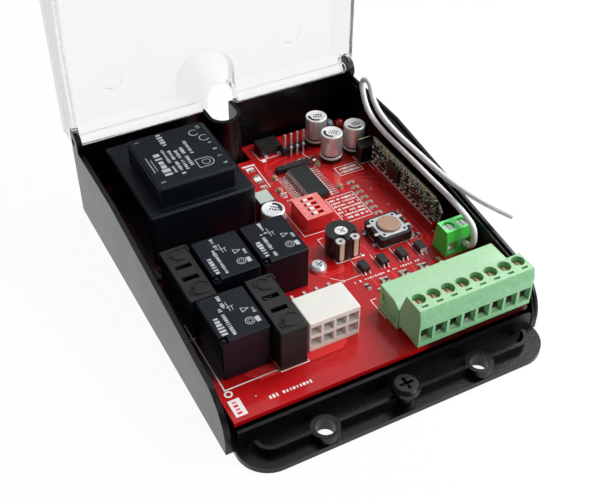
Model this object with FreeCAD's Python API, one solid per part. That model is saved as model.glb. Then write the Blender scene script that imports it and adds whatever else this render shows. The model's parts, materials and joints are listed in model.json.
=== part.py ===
import FreeCAD, Part
import math
import os

# Control panel for a shutter motor, in millimetres.
# The origin lies on the flat back, at mid width and mid length.
# X runs right along the hinge, Y runs to the hinge, Z points out of the wall.

vector = FreeCAD.Vector

# Tray
wall = 2.0
floor = 2.0
rim_height = 28.6
rim_flat_length = 37.5
rim_low_from_front = 22.5
rim_low_height = 19.0
rim_bend_from_front = 15.6
rim_bend_height = 14.2
rim_foot_from_front = 12.0
rim_foot_height = 3.0
rebate_depth = 1.0
rebate_width = 1.0
flange_inset = 2.25
flange_corner = 10.0
rib_thickness = 1.2
rib_height = 3.0
rib_inset = 5.15
rib_front_from_front = 4.1
rib_back_from_front = 9.3
rib_corner = 5.6
boss_spacing = 52.8
boss_from_front = 4.5
boss_radius = 4.4
boss_height = 3.0
fixing_hole = 6.0
stud_radius = 2.75
stud_height = 5.0
front_wall_from_front = 11.0
front_wall_thickness = 1.2
front_wall_height = 6.2
recess_from_back = 6.2
recess_radius = 4.8
recess_wall = 1.5
hanging_hole = 5.0

# Lid and hinge
hinge_from_back = 2.2
bead_radius = 2.0
bead_gap = 0.3
bead_end_gap = 0.3
pin_radius = 1.25
pin_play = 0.05
pin_end_gap = 0.4
ear_radius = 4.5
ear_gap = 0.5
lid_wall = 1.8
lid_height = 43.5
lid_back_gap = 0.2
lid_rim_gap = 0.3
lid_lip_drop = 1.0
lid_lip_thickness = 0.6
lid_shoulder_from_front = 9.9
lid_shoulder_height = 8.5
lid_shoulder_lip = 0.5
lid_front_from_front = 5.6
lid_nose_inset = 9.0
lid_foot = 2.3
lid_nose_corner = 3.5
lid_shoulder_corner = 2.0
well_wall = 1.5
well_top_radius = 12.3
lid_mark_radius = 4.0
lid_mark_depth = 0.4
lid_mark_x = 34.8
lid_mark_from_back = 16.1
arch_radius = 5.0
arch_spring = 3.5
screw_arch_radius = 5.2
screw_arch_spring = 9.0
notch_from_front = (40.5, 55.5)
notch_top = 32.0
notch_corner = 3.0

# Lid screw
lid_screw_head_radius = 4.4
lid_screw_head_height = 2.4
lid_screw_seat = 0.1
lid_screw_radius = 1.5
lid_screw_length = 5.6
screw_play = 0.05

# Board
board_side_gap = 1.7
board_rear_margin = 4.0
board_thickness = 1.6
board_front_gap = 13.5
board_back_gap = 2.5
standoff = 6.4
board_notch_half = 7.1
board_notch_depth = 8.8
post_radius = 3.2
foot_radius = 2.5
board_screw_places = [(51.0, 45.1), (4.5, 65.0), (47.0, 103.0)]
foot_side_edge = 2.8
foot_front_edge = 4.0
foot_back_edge = 3.0
board_screw_head = 2.8
board_screw_head_height = 1.9
board_screw_radius = 1.3
board_screw_length = 6.5
board_screw_hole = 1.6
pin_tail = 3.0
pin_hole_play = 0.15

# Transformer
transformer_x = 5.0
transformer_y = 70.3
transformer_width = 36.5
transformer_length = 42.7
transformer_shoulder = 19.5
crown_x = 9.7
crown_y = 73.0
crown_width = 26.5
crown_length = 29.2
transformer_height = 27.6
moulding_wall = 1.5
transformer_base_height = 1.2
base_fit = 0.1
core_size = (31.0, 30.6, 11.0)
core_bottom = 5.5
core_leg = 8.0
winding_size = (21.2, 21.8, 22.8)
winding_fit = 0.2
transformer_pin = 0.5

# Relays
relay_places = [(4.1, 15.5), (12.8, 39.5), (29.4, 39.6)]
relay_width = 15.3
relay_length = 19.0
relay_height = 15.4
relay_wall = 0.8
relay_base_height = 1.0
relay_notch = 2.2
relay_notch_depth = 1.2
relay_nib = 0.6
coil_radius = 4.2
coil_height = 9.0
coil_flange = 0.8
yoke_thickness = 1.2
relay_pin = 0.45

# Fuse holders
fuse_places = [(2.8, 35.0), (20.3, 11.2)]
fuse_width = 8.7
fuse_length = 24.6
fuse_height = 15.5
fuse_foot = 1.2
fuse_pedestal_height = 3.3
cover_wall = 0.8
cover_fit = 0.1
cover_lens_radius = 2.6
cover_lens_height = 0.3
cover_slot = (5.2, 1.9)
cover_slot_steps = (9.6, 15.2)
fuse_radius = 2.5
fuse_cap_radius = 2.6
fuse_cap_length = 5.0
fuse_link_length = 20.0
fuse_link_height = 8.2
clip_thickness = 0.4
clip_length = 4.0
clip_gap = 0.05

# Power socket
socket_x = 31.0
socket_y = 14.0
socket_width = 17.2
socket_length = 12.0
socket_height = 11.5
socket_pitch = 4.2
socket_columns = 4
socket_rows = (3.4, 7.9)
socket_cavity = 3.4
socket_cavity_depth = 9.0
socket_bends = (27.2, 29.6)
socket_pin = 1.0
socket_pin_front = 16.5

# Pluggable terminal
pole_pitch = 5.08
poles = 8
header_x = 58.9
header_ends = 0.56
header_margin = 0.5
header_front = 9.8
header_back = 20.5
header_height = 10.0
header_lip_y = 12.8
header_lip_height = 8.2
header_wall = 1.2
header_back_wall = 2.6
header_floor = 1.2
contact_pin = 1.0
contact_height = 5.0
contact_front = 11.0
contact_foot_y = 18.8
plug_side_gap = 0.2
plug_front = -1.1
plug_top_front = -0.3
plug_back = 9.4
plug_top_back = 7.1
plug_bottom = 2.2
plug_top = 16.3
plug_back_height = 9.2
tongue_end = 17.5
tongue_fit = 0.2
plug_socket = 1.5
plug_socket_front = 9.0
plug_screw_y = 4.5
plug_hole_radius = 2.1
plug_hole_floor = 12.5
plug_window = (4.1, 5.2, 4.0)
plug_window_depth = 7.4
plug_slot = (2.2, 0.8, 1.2)
plug_slot_y = 1.2
cage_wall = 0.5
cage_front_inset = 1.6
plug_screw_head = 1.9
plug_screw_head_height = 1.6
plug_screw_radius = 1.1
plug_screw_head_base = 12.9
plug_screw_length = 5.1
slot_width = 0.6
slot_depth = 0.8

# Aerial terminal
aerial_edge_gap = 0.1
aerial_width = 10.1
aerial_front = 30.3
aerial_back = 38.0
aerial_top_front = 31.0
aerial_top_back = 36.8
aerial_height = 10.0
aerial_screw_steps = (2.5, 7.6)
aerial_screw_y = 33.9
aerial_hole_radius = 2.0
aerial_hole_floor = 7.5
aerial_window = (3.6, 4.2, 1.4)
aerial_window_depth = 5.2
aerial_screw_head = 1.8
aerial_screw_head_height = 1.4
aerial_screw_head_base = 7.9
aerial_screw_radius = 1.0
aerial_screw_length = 3.3
aerial_leg = 0.5

# Radio module
radio_edge = 4.2
radio_y = (43.0, 87.0)
radio_thickness = 1.0
radio_bottom = 1.5
radio_top = 11.0
radio_corner = 4.0
radio_pin = 0.32
radio_pin_pitch = 2.54
crystal_size = (6.0, 4.0, 6.5)
crystal_place = (92.0, 88.0)

# Controller and settings
chip_place = (65.0, 76.0)
chip_size = (7.5, 17.9, 2.5)
chip_lead_count = 14
chip_lead_pitch = 1.27
chip_lead_span = 11.2
chip_lead_width = 0.42
dip_place = (56.2, 62.0)
dip_size = (9.9, 12.2, 5.6)
dip_ways = 4
dip_pitch = 2.54
dip_window = (4.6, 1.5)
dip_window_depth = 2.0
slider_size = (1.6, 1.3, 2.3)
slider_travel = 1.5
button_place = (80.0, 49.4)
button_body_size = (12.0, 12.0, 3.6)
button_plate_size = 10.0
button_plate = 0.4
button_hole_radius = 4.15
button_cap_radius = 4.0
button_cap_top = 4.9
button_flange_radius = 4.6
button_flange_height = 0.6
button_dome_radius = 3.4
trimmer_place = (61.8, 49.6)
trimmer_radius = 5.2
trimmer_height = 8.5
trimmer_core_radius = 2.2
trimmer_play = 0.05
trimmer_core_depth = 3.0
trimmer_leg_x = (-2.4, 2.9)
trimmer_leg_y = -5.3
trimmer_leg = (1.6, 0.5)
trimmer_leg_top = 7.8
trimmer_washer_radius = 1.6

# Loose parts on the board
capacitor_places = [(84.2, 107.7), (84.2, 95.9), (94.2, 96.7), (45.6, 66.5)]
capacitor_radius = 4.0
capacitor_height = 11.5
capacitor_groove_height = 1.7
capacitor_groove = 0.3
capacitor_lead = 0.3
film_place = (44.0, 73.0)
film_size = (6.0, 7.0, 9.0)
disc_place = (90.2, 108.6)
disc_radius = 2.6
disc_thickness = 1.6
disc_height = 4.6
rectifier_recess_gap = 4.9
rectifier_y = 108.0
rectifier_size = (8.5, 6.5, 3.2)
pin_row_place = (70.3, 106.0)
pin_row_count = 4
pin_row_block = (2.5, 2.5)
pin_row_pin = 0.64
pin_row_top = 8.4
opto_places = [(64.0, 38.2), (71.0, 38.1), (78.3, 38.0), (85.4, 37.9)]
opto_size = (2.6, 4.4, 2.0)
opto_lead = (0.45, 6.6, 0.9)
led_place = (94.5, 108.0)
led_radius = 2.5
led_flange_radius = 2.9
led_height = 6.6
small_part = (1.2, 2.0, 0.5)
small_part_rows = [
    (83.0, 60.4, 0.0, 3.2, 7),
    (60.8, 30.0, 7.2, 0.0, 4),
    (66.4, 30.2, 7.2, 0.0, 4),
    (63.6, 26.4, 4.1, 0.0, 7),
    (71.5, 98.6, 3.3, 0.0, 3),
    (88.0, 44.5, 0.0, 4.4, 4),
]

# Aerial wire: control points in the board's frame and the wire's size
wire_diameter = 2.0
wire_bend = 0.45
wire_points = [
    (98.0, 32.0, 3.2),
    (98.0, 26.2, 3.2),
    (97.4, 25.9, 12.9),
    (97.5, 32.6, 14.4),
    (99.3, 43.2, 12.9),
    (99.8, 56.4, 12.4),
    (99.6, 69.6, 12.9),
    (99.9, 82.0, 12.5),
    (100.0, 91.2, 13.1),
    (99.8, 97.4, 15.6),
    (100.1, 101.4, 20.0),
    (100.0, 102.8, 25.4),
    (100.3, 97.7, 27.6),
    (100.2, 95.1, 21.6),
    (100.4, 89.2, 17.7),
    (100.2, 77.0, 16.7),
    (100.4, 63.6, 16.9),
    (100.3, 51.4, 17.3),
    (100.8, 41.6, 17.9),
    (103.4, 32.8, 17.3),
    (107.2, 27.2, 15.9),
    (110.4, 24.2, 14.3),
]

header_width = poles * pole_pitch + header_ends
plug_x = header_x + plug_side_gap
plug_width = header_width - 2 * plug_side_gap
board_width = header_x + header_width + header_margin
board_length = transformer_y + transformer_length + board_rear_margin
aerial_x = board_width - aerial_edge_gap - aerial_width
aerial_screw_x = [aerial_x + step for step in aerial_screw_steps]
radio_x = board_width - radio_edge
board_foot_places = [
    (x, y)
    for y in (foot_front_edge, board_length - foot_back_edge)
    for x in (foot_side_edge, board_width - foot_side_edge)
]
rectifier_place = (board_width / 2 + recess_radius + recess_wall + rectifier_recess_gap, rectifier_y)

case_width = board_width + 2 * (board_side_gap + wall)
case_length = board_front_gap + board_length + board_back_gap + wall
half_width = case_width / 2
inner_x = half_width - wall
rebate_x = half_width - rebate_width
flange_half = half_width - flange_inset
rib_half_width = flange_half - rib_inset
bead_half_length = inner_x - bead_end_gap
pin_reach = half_width - pin_end_gap
lid_nose_half_width = half_width - lid_nose_inset
far = case_width + case_length
case_back = case_length / 2
case_front = -case_length / 2
board_front = case_front + board_front_gap
rim_flat_y = case_back - rim_flat_length
rim_low_y = case_front + rim_low_from_front
rim_bend_y = case_front + rim_bend_from_front
rim_foot_y = case_front + rim_foot_from_front
rib_front_y = case_front + rib_front_from_front
rib_back_y = case_front + rib_back_from_front
boss_y = case_front + boss_from_front
front_wall_y = case_front + front_wall_from_front
recess_y = case_back - recess_from_back
hinge_y = case_back - hinge_from_back
lid_shoulder_y = case_front + lid_shoulder_from_front
lid_front_y = case_front + lid_front_from_front
lid_mark_y = case_back - lid_mark_from_back
notch_y = [case_front + step for step in notch_from_front]
board_left = -board_width / 2
board_top = floor + standoff + board_thickness
hinge_z = rim_height + bead_gap + bead_radius
board_holes = []


def block(x0, x1, y0, y1, z0, z1):
    return Part.makeBox(x1 - x0, y1 - y0, z1 - z0, vector(x0, y0, z0))


def post(x, y, z0, z1, radius):
    return Part.makeCylinder(radius, z1 - z0, vector(x, y, z0))


def rod_x(y, z, x0, x1, radius):
    return Part.makeCylinder(radius, x1 - x0, vector(x0, y, z), vector(1, 0, 0))


def rod_y(x, z, y0, y1, radius):
    return Part.makeCylinder(radius, y1 - y0, vector(x, y0, z), vector(0, 1, 0))


def prism(points, direction):
    outline = Part.makePolygon(points + [points[0]])
    return Part.Face(outline).extrude(direction)


def prism_x(outline, x0, x1):
    points = [vector(x0, y, z) for y, z in outline]
    return prism(points, vector(x1 - x0, 0, 0))


def prism_y(outline, y0, y1):
    points = [vector(x, y0, z) for x, z in outline]
    return prism(points, vector(0, y1 - y0, 0))


def prism_z(outline, z0, z1):
    points = [vector(x, y, z0) for x, y in outline]
    return prism(points, vector(0, 0, z1 - z0))


def joined(shapes):
    result = shapes[0]
    if len(shapes) > 1:
        result = result.multiFuse(shapes[1:])
    return result.removeSplitter()


def cleared(shape, cutters):
    return shape.cut(cutters).removeSplitter()


def upright(edge):
    ends = edge.Vertexes
    if len(ends) < 2:
        return False
    a, b = ends[0].Point, ends[1].Point
    return abs(a.x - b.x) < 1e-6 and abs(a.y - b.y) < 1e-6


def round_upright(shape, radius, wanted=lambda x, y: True):
    edges = []
    for edge in shape.Edges:
        if upright(edge) and wanted(edge.Vertexes[0].X, edge.Vertexes[0].Y):
            edges.append(edge)
    return shape.makeFillet(radius, edges)


def soften_top(shape, radius):
    top = shape.BoundBox.ZMax
    edges = []
    for edge in shape.Edges:
        if abs(edge.BoundBox.ZMin - top) < 1e-6 and abs(edge.BoundBox.ZMax - top) < 1e-6:
            edges.append(edge)
    return shape.makeChamfer(radius, edges)


def mirrored(shape):
    return shape.mirror(vector(0, 0, 0), vector(1, 0, 0))


def both_sides(shape):
    return [shape, mirrored(shape)]


def on_board(shape):
    moved = shape.copy()
    moved.translate(vector(board_left, board_front, board_top))
    return moved


def save(name, shapes, board=True):
    shape = shapes if not isinstance(shapes, list) else Part.makeCompound(shapes)
    if board:
        shape = on_board(shape)
    shape.exportStep(os.path.join("parts", name + ".step"))


def round_leg(x, y, top, radius):
    board_holes.append((x, y, radius + pin_hole_play))
    return post(x, y, -board_thickness - pin_tail, top, radius)


def square_leg(x, y, top, size):
    board_holes.append((x, y, size * math.sqrt(0.5) + pin_hole_play))
    half = size / 2
    return block(x - half, x + half, y - half, y + half, -board_thickness - pin_tail, top)


def slotted_screw(x, y, head_base, head_height, head_radius, shank_radius, shank_length):
    head = post(x, y, head_base, head_base + head_height, head_radius)
    shank = post(x, y, head_base - shank_length, head_base, shank_radius)
    half = slot_width / 2
    top = head_base + head_height
    slot = block(x - half, x + half, y - head_radius, y + head_radius, top - slot_depth, top + 1)
    return cleared(joined([head, shank]), [slot])


os.makedirs("parts", exist_ok=True)


# Side profile of the tray, lowered by a drop, and the space below it

def side_face(drop):
    top = rim_height - drop
    low = rim_low_height - drop
    bend = rim_bend_height - drop
    foot = max(rim_foot_height - drop, 0.5)
    corners = [
        vector(0, rim_foot_y, foot),
        vector(0, rim_foot_y, 0),
        vector(0, case_back, 0),
        vector(0, case_back, top),
        vector(0, rim_flat_y, top),
        vector(0, rim_low_y, low),
    ]
    edges = [Part.LineSegment(a, b).toShape() for a, b in zip(corners, corners[1:])]
    edges.append(Part.Arc(corners[-1], vector(0, rim_bend_y, bend), corners[0]).toShape())
    return Part.Face(Part.Wire(edges))


def side_plate(x0, x1, drop):
    plate = side_face(drop).extrude(vector(x1 - x0, 0, 0))
    plate.translate(vector(x0, 0, 0))
    return plate


side = joined([side_plate(inner_x, rebate_x, rebate_depth), side_plate(rebate_x, half_width, 0)])
side = side.common(block(0, far, -far, far, floor, far))
back_wall = block(-inner_x, inner_x, case_back - wall, case_back, floor, rim_height)
floor_plate = block(-half_width, half_width, rim_foot_y, case_back, 0, floor)
flange = block(-flange_half, flange_half, case_front, rim_foot_y + 1, 0, floor)
flange = round_upright(flange, flange_corner, lambda x, y: y < case_front + 1)

rib_outer = block(-rib_half_width, rib_half_width, rib_front_y, rib_back_y, floor, floor + rib_height)
rib_outer = round_upright(rib_outer, rib_corner - 0.5, lambda x, y: y < rib_front_y + 1)
rib_inner = block(
    -rib_half_width + rib_thickness,
    rib_half_width - rib_thickness,
    rib_front_y + rib_thickness,
    rib_back_y + 1,
    floor - 1,
    floor + rib_height + 1,
)
rib_inner = round_upright(
    rib_inner,
    rib_corner - 0.5 - rib_thickness,
    lambda x, y: y < rib_front_y + 2,
)
rib = rib_outer.cut(rib_inner)

boss_x = boss_spacing / 2
bosses = [post(x, boss_y, 0, floor + boss_height, boss_radius) for x in (-boss_x, boss_x)]
stud = post(0, boss_y, 0, floor + stud_height, stud_radius)
front_wall = block(
    board_left,
    -board_left,
    front_wall_y,
    front_wall_y + front_wall_thickness,
    0,
    floor + front_wall_height,
)
ear = rod_x(hinge_y, hinge_z, inner_x, half_width, ear_radius)
ear = ear.common(block(0, far, 0, case_back, 0, far))

recess_outer_radius = recess_radius + recess_wall
recess_outer = joined([
    post(0, recess_y, floor, rim_height, recess_outer_radius),
    block(-recess_outer_radius, recess_outer_radius, recess_y, case_back, floor, rim_height),
])
recess_outer = recess_outer.common(block(-far, far, 0, case_back, 0, rim_height))
recess_inner = joined([
    post(0, recess_y, floor, rim_height + 1, recess_radius),
    block(-recess_radius, recess_radius, recess_y, case_back + 1, floor, rim_height + 1),
])

screw_posts = []
screw_bores = []
for x, y in board_screw_places:
    px, py = board_left + x, board_front + y
    screw_posts.append(post(px, py, 0, floor + standoff, post_radius))
    bore_bottom = board_top - board_screw_length - 0.3
    screw_bores.append(post(px, py, bore_bottom, board_top, board_screw_radius + screw_play))
feet = []
for x, y in board_foot_places:
    feet.append(post(board_left + x, board_front + y, 0, floor + standoff, foot_radius))

tray = joined([floor_plate, flange, rib, stud, front_wall] + bosses + screw_posts + feet)
stud_bore_bottom = floor + stud_height + lid_screw_seat - lid_screw_length - 0.3
tray_cuts = [post(0, recess_y, -1, floor + 1, hanging_hole / 2)]
tray_cuts.append(post(0, boss_y, stud_bore_bottom, far, lid_screw_radius + screw_play))
for x in (-boss_x, boss_x):
    tray_cuts.append(post(x, boss_y, -1, far, fixing_hole / 2))
save("base_tray", cleared(tray, tray_cuts + screw_bores), board=False)

ear_bore = rod_x(hinge_y, hinge_z, inner_x - 1, half_width + 1, pin_radius + pin_play)
side_wall = cleared(joined([side, ear]), [ear_bore])
save("tray_side_walls", both_sides(side_wall), board=False)
save("tray_back_wall", cleared(joined([back_wall, recess_outer]), [recess_inner]), board=False)


# Lid, drawn closed and then swung open about the hinge

def lid_outline(inset):
    x = half_width - inset
    nose = lid_nose_half_width - inset
    back = case_back - lid_back_gap - inset
    shoulder = lid_shoulder_y + inset
    front = lid_front_y + inset
    right = [(x, back), (x, shoulder), (nose, shoulder), (nose, front)]
    left = [(-px, py) for px, py in reversed(right)]
    return right + left


def lid_block(inset, bottom, top):
    body = prism_z(lid_outline(inset), bottom, top)
    front = lid_front_y + inset
    shoulder = lid_shoulder_y + inset
    nose = lid_nose_half_width - inset
    body = round_upright(body, lid_nose_corner - inset, lambda x, y: abs(y - front) < 0.01)
    corner = max(lid_shoulder_corner - inset, 0.5)
    return round_upright(
        body, corner, lambda x, y: abs(y - shoulder) < 0.01 and abs(x) > nose + 1
    )


lid_shell = lid_block(0, lid_foot, lid_height)
lid_shell = soften_top(lid_shell, 0.8)
lid_shell = lid_shell.cut(lid_block(lid_wall, 0, lid_height - lid_wall))


def below_rim(x0, x1, raised):
    space = side_plate(x0, x1, 0)
    space.translate(vector(0, 0, raised))
    under = block(x0, x1, rim_foot_y, case_back, -raised - 5, raised + 2)
    behind = block(x0, x1, case_back - 1, case_back + 1, 0, hinge_z)
    return joined([space, under, behind])


nose_inner_y = lid_front_y + lid_wall
lip_x = rebate_x - (rebate_width - lid_lip_thickness) / 2
ear_space = rod_x(hinge_y, hinge_z, bead_half_length, half_width + 1, ear_radius + ear_gap)
lid_cuts = both_sides(below_rim(lip_x, half_width + 1, lid_rim_gap))
lid_cuts += both_sides(below_rim(inner_x - 4, lip_x, lid_rim_gap - lid_lip_drop))
lid_cuts += both_sides(ear_space)
lid_cuts.append(block(-far, far, lid_shoulder_y + lid_shoulder_lip, 0, 0, lid_shoulder_height))
lid_cuts.append(block(-inner_x, inner_x, 0, case_back, 0, hinge_z))
lid_cuts.append(block(-inner_x, inner_x, nose_inner_y, case_back, 0, lid_shoulder_height))
shoulder_space = block(
    lid_nose_half_width + 0.05, far, lid_front_y, rim_foot_y, 0, lid_shoulder_height
)
lid_cuts += both_sides(shoulder_space)
arch_back = lid_front_y + 2 * lid_wall
for x in (-boss_x, boss_x):
    lid_cuts.append(block(x - arch_radius, x + arch_radius, -far, arch_back, 0, arch_spring))
    lid_cuts.append(rod_y(x, arch_spring, -far, arch_back, arch_radius))
lid_cuts.append(block(-screw_arch_radius, screw_arch_radius, -far, arch_back, 0, screw_arch_spring))
lid_cuts.append(rod_y(0, screw_arch_spring, -far, arch_back, screw_arch_radius))
wire_notch = block(inner_x - 1, half_width + 1, notch_y[0], notch_y[1], 15, notch_top)
notch_edges = []
for edge in wire_notch.Edges:
    box = edge.BoundBox
    if box.XLength > 1 and box.ZMin > notch_top - 1:
        notch_edges.append(edge)
lid_cuts.append(wire_notch.makeFillet(notch_corner, notch_edges))

well_bottom = rim_height + bead_gap
well_low_radius = recess_outer_radius


def well_body(inset):
    low = well_low_radius - inset
    high = well_top_radius - inset
    depth = lid_height - well_bottom
    cone = Part.makeCone(low, high, depth, vector(0, recess_y, well_bottom))
    front_half = cone.common(block(-far, far, -far, recess_y, 0, far))
    outline = [(-low, well_bottom), (low, well_bottom), (high, lid_height), (-high, lid_height)]
    legs = prism_y(outline, recess_y, case_back - lid_back_gap)
    return joined([front_half, legs])


well_outer = well_body(0)
well_inner = well_body(well_wall)
well_space = joined([
    well_inner,
    block(-recess_radius, recess_radius, recess_y, far, rim_height - 1, well_bottom + 0.5),
])
well = well_outer.cut(block(-far, far, hinge_y, far, 0, hinge_z))

bead_start = recess_outer_radius + 0.6
bead = rod_x(hinge_y, hinge_z, bead_start, bead_half_length, bead_radius)
hinge_pin = rod_x(hinge_y, hinge_z, bead_half_length - 1, pin_reach, pin_radius)
marks = []
for x in (-lid_mark_x, lid_mark_x):
    low = lid_height - lid_wall - lid_mark_depth
    marks.append(post(x, lid_mark_y, low, lid_height - 0.5, lid_mark_radius))
lid = lid_shell.cut(lid_cuts)
lid = joined([lid, well] + both_sides(bead) + both_sides(hinge_pin) + marks)
lid = lid.cut(well_space).removeSplitter()
lid.rotate(vector(0, hinge_y, hinge_z), vector(1, 0, 0), -90)
save("lid", lid, board=False)


# Screw that keeps the lid's front edge

seat = floor + stud_height + lid_screw_seat
head_top = seat + lid_screw_head_height
lid_screw = joined([
    post(0, boss_y, seat, head_top, lid_screw_head_radius),
    post(0, boss_y, seat - lid_screw_length, seat, lid_screw_radius),
])
lid_screw = soften_top(lid_screw, 1.0)
cross = []
for angle in (0, 90):
    arm = block(-2.2, 2.2, boss_y - 0.45, boss_y + 0.45, head_top - 1.4, head_top + 1)
    arm.rotate(vector(0, boss_y, 0), vector(0, 0, 1), angle)
    cross.append(arm)
save("lid_screw", cleared(lid_screw, cross), board=False)


# Board screws

screws = []
for x, y in board_screw_places:
    head = soften_top(post(x, y, 0, board_screw_head_height, board_screw_head), 0.8)
    shank = post(x, y, -board_screw_length, 0, board_screw_radius)
    arms = []
    for angle in (20, 110):
        arm = block(x - 1.5, x + 1.5, y - 0.3, y + 0.3, board_screw_head_height - 1.1, 5)
        arm.rotate(vector(x, y, 0), vector(0, 0, 1), angle)
        arms.append(arm)
    screws.append(cleared(joined([head, shank]), arms))
    board_holes.append((x, y, board_screw_hole))
save("board_screws", screws)


# Transformer: moulding, laminated core, winding and base

def hollow(x, y, width, length, height, thickness, corner):
    outer = block(x, x + width, y, y + length, 0, height)
    outer = soften_top(round_upright(outer, corner), corner / 2)
    inner = block(
        x + thickness, x + width - thickness, y + thickness, y + length - thickness,
        -1, height - thickness,
    )
    return outer, inner


lower, lower_space = hollow(
    transformer_x, transformer_y, transformer_width, transformer_length,
    transformer_shoulder, moulding_wall, 1.2,
)
crown, crown_space = hollow(
    crown_x, crown_y, crown_width, crown_length, transformer_height, moulding_wall, 1.2,
)
save("transformer_case", cleared(joined([lower, crown]), [lower_space, crown_space]))

inset = moulding_wall + base_fit
base_x = (transformer_x + inset, transformer_x + transformer_width - inset)
base_y = (transformer_y + inset, transformer_y + transformer_length - inset)
pieces = [block(base_x[0], base_x[1], base_y[0], base_y[1], 0, transformer_base_height)]
for step in range(4):
    x = transformer_x + 6 + step * 8
    pieces.append(round_leg(x, base_y[0] + 3, 0.5, transformer_pin))
    if step in (0, 3):
        pieces.append(round_leg(x, base_y[1] - 3, 0.5, transformer_pin))
save("transformer_base", joined(pieces))

coil_x = crown_x + crown_width / 2
coil_y = crown_y + crown_length / 2
leg_half = core_leg / 2
core_top = core_bottom + core_size[2]
half_x, half_y = core_size[0] / 2, core_size[1] / 2
winding_x, winding_y = winding_size[0] / 2, winding_size[1] / 2
core = block(coil_x - half_x, coil_x + half_x, coil_y - half_y, coil_y + half_y, core_bottom, core_top)
gaps = []
for sign in (-1, 1):
    ends = sorted((coil_x + sign * leg_half, coil_x + sign * (winding_x + winding_fit)))
    reach = winding_y + winding_fit
    gaps.append(block(ends[0], ends[1], coil_y - reach, coil_y + reach, 0, far))
save("transformer_core", cleared(core, gaps))
winding = block(
    coil_x - winding_x, coil_x + winding_x, coil_y - winding_y, coil_y + winding_y,
    transformer_base_height, transformer_base_height + winding_size[2],
)
winding = round_upright(winding, 2.0)
leg_space = block(
    coil_x - leg_half, coil_x + leg_half, coil_y - far, coil_y + far, core_bottom, core_top
)
save("transformer_winding", cleared(winding, [leg_space]))


# Relays: cover with a vent nib, base with pins, coil with yoke

relay_cases = []
relay_bases = []
relay_coils = []
for x, y in relay_places:
    outer, space = hollow(x, y, relay_width, relay_length, relay_height, relay_wall, 0.6)
    pocket = block(x, x + relay_notch, y, y + relay_notch, relay_height - relay_notch_depth, far)
    thick = relay_notch + relay_wall
    notch_z = relay_height - relay_notch_depth
    corner = block(x + 0.6, x + thick, y + 0.6, y + thick, notch_z - 0.8, relay_height - 0.5)
    nib = post(x + 1.1, y + 1.1, notch_z - 0.3, relay_height - 0.3, relay_nib)
    cover = outer.cut(space).fuse(corner).cut(pocket)
    relay_cases.append(joined([cover, nib]))
    gap = relay_wall + base_fit
    base = [block(x + gap, x + relay_width - gap, y + gap, y + relay_length - gap, 0, relay_base_height)]
    mid = x + relay_width / 2
    for dx, dy in ((-6.0, 3.0), (6.0, 3.0), (0.0, 2.2), (-6.0, 15.5), (6.0, 15.5)):
        base.append(round_leg(mid + dx, y + dy, 0.5, relay_pin))
    relay_bases.append(joined(base))
    low = relay_base_height
    high = low + coil_height
    cy = y + relay_length / 2 - 1
    coil = [
        post(mid, cy, low, low + coil_flange, coil_radius + 0.9),
        post(mid, cy, low, high, coil_radius),
        post(mid, cy, high - coil_flange, high, coil_radius + 0.9),
        block(mid - 4, mid + 4, cy, cy + 7.2, high - 0.2, high + yoke_thickness),
        block(mid - 4, mid + 4, cy + 7.2 - yoke_thickness, cy + 7.2, low, high + yoke_thickness),
    ]
    relay_coils.append(joined(coil))
save("relay_cases", relay_cases)
save("relay_bases", relay_bases)
save("relay_coils", relay_coils)


# Fuse holders: base, clips, link and lift-off cover

fuse_bases = []
fuse_clips = []
fuse_links = []
for number, (x, y) in enumerate(fuse_places, 1):
    mid = x + fuse_width / 2
    centre = y + fuse_length / 2
    inside = cover_wall + cover_fit
    pedestal_top = fuse_foot + fuse_pedestal_height
    fuse_bases.append(joined([
        block(x, x + fuse_width, y, y + fuse_length, 0, fuse_foot),
        block(x + inside, x + fuse_width - inside, y + inside, y + fuse_length - inside, 0.5, pedestal_top),
    ]))
    clip_half = fuse_cap_radius + clip_gap
    strip_top = fuse_link_height - fuse_cap_radius - clip_gap
    for sign in (-1, 1):
        cy = centre + sign * (fuse_link_length - fuse_cap_length) / 2
        y0, y1 = cy - clip_length / 2, cy + clip_length / 2
        outer = clip_half + clip_thickness
        fuse_clips.append(joined([
            block(mid - outer, mid + outer, y0, y1, pedestal_top, strip_top),
            block(mid - outer, mid - clip_half, y0, y1, pedestal_top, fuse_link_height + 2.4),
            block(mid + clip_half, mid + outer, y0, y1, pedestal_top, fuse_link_height + 2.4),
        ]))
    start = centre - fuse_link_length / 2
    end = centre + fuse_link_length / 2
    fuse_links.append(joined([
        rod_y(mid, fuse_link_height, start, end, fuse_radius),
        rod_y(mid, fuse_link_height, start, start + fuse_cap_length, fuse_cap_radius),
        rod_y(mid, fuse_link_height, end - fuse_cap_length, end, fuse_cap_radius),
    ]))
    top = fuse_height - cover_lens_height
    cover = block(x, x + fuse_width, y, y + fuse_length, fuse_foot, top)
    cover = soften_top(round_upright(cover, 0.5), 0.3)
    space = block(
        x + cover_wall, x + fuse_width - cover_wall,
        y + cover_wall, y + fuse_length - cover_wall, 0, top - cover_wall,
    )
    slots = []
    for step in cover_slot_steps:
        sx, sy = cover_slot[0] / 2, cover_slot[1] / 2
        slots.append(block(mid - sx, mid + sx, y + step - sy, y + step + sy, 0, far))
    lenses = []
    for dy in (4.0, fuse_length - 4.0):
        lenses.append(post(mid + 0.9, y + dy, top - 0.3, fuse_height, cover_lens_radius))
    save("fuse_cover_%d" % number, joined([cleared(cover, [space] + slots)] + lenses))
save("fuse_bases", fuse_bases)
save("fuse_clips", fuse_clips)
save("fuse_links", fuse_links)


# Power socket with bent pins

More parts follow.
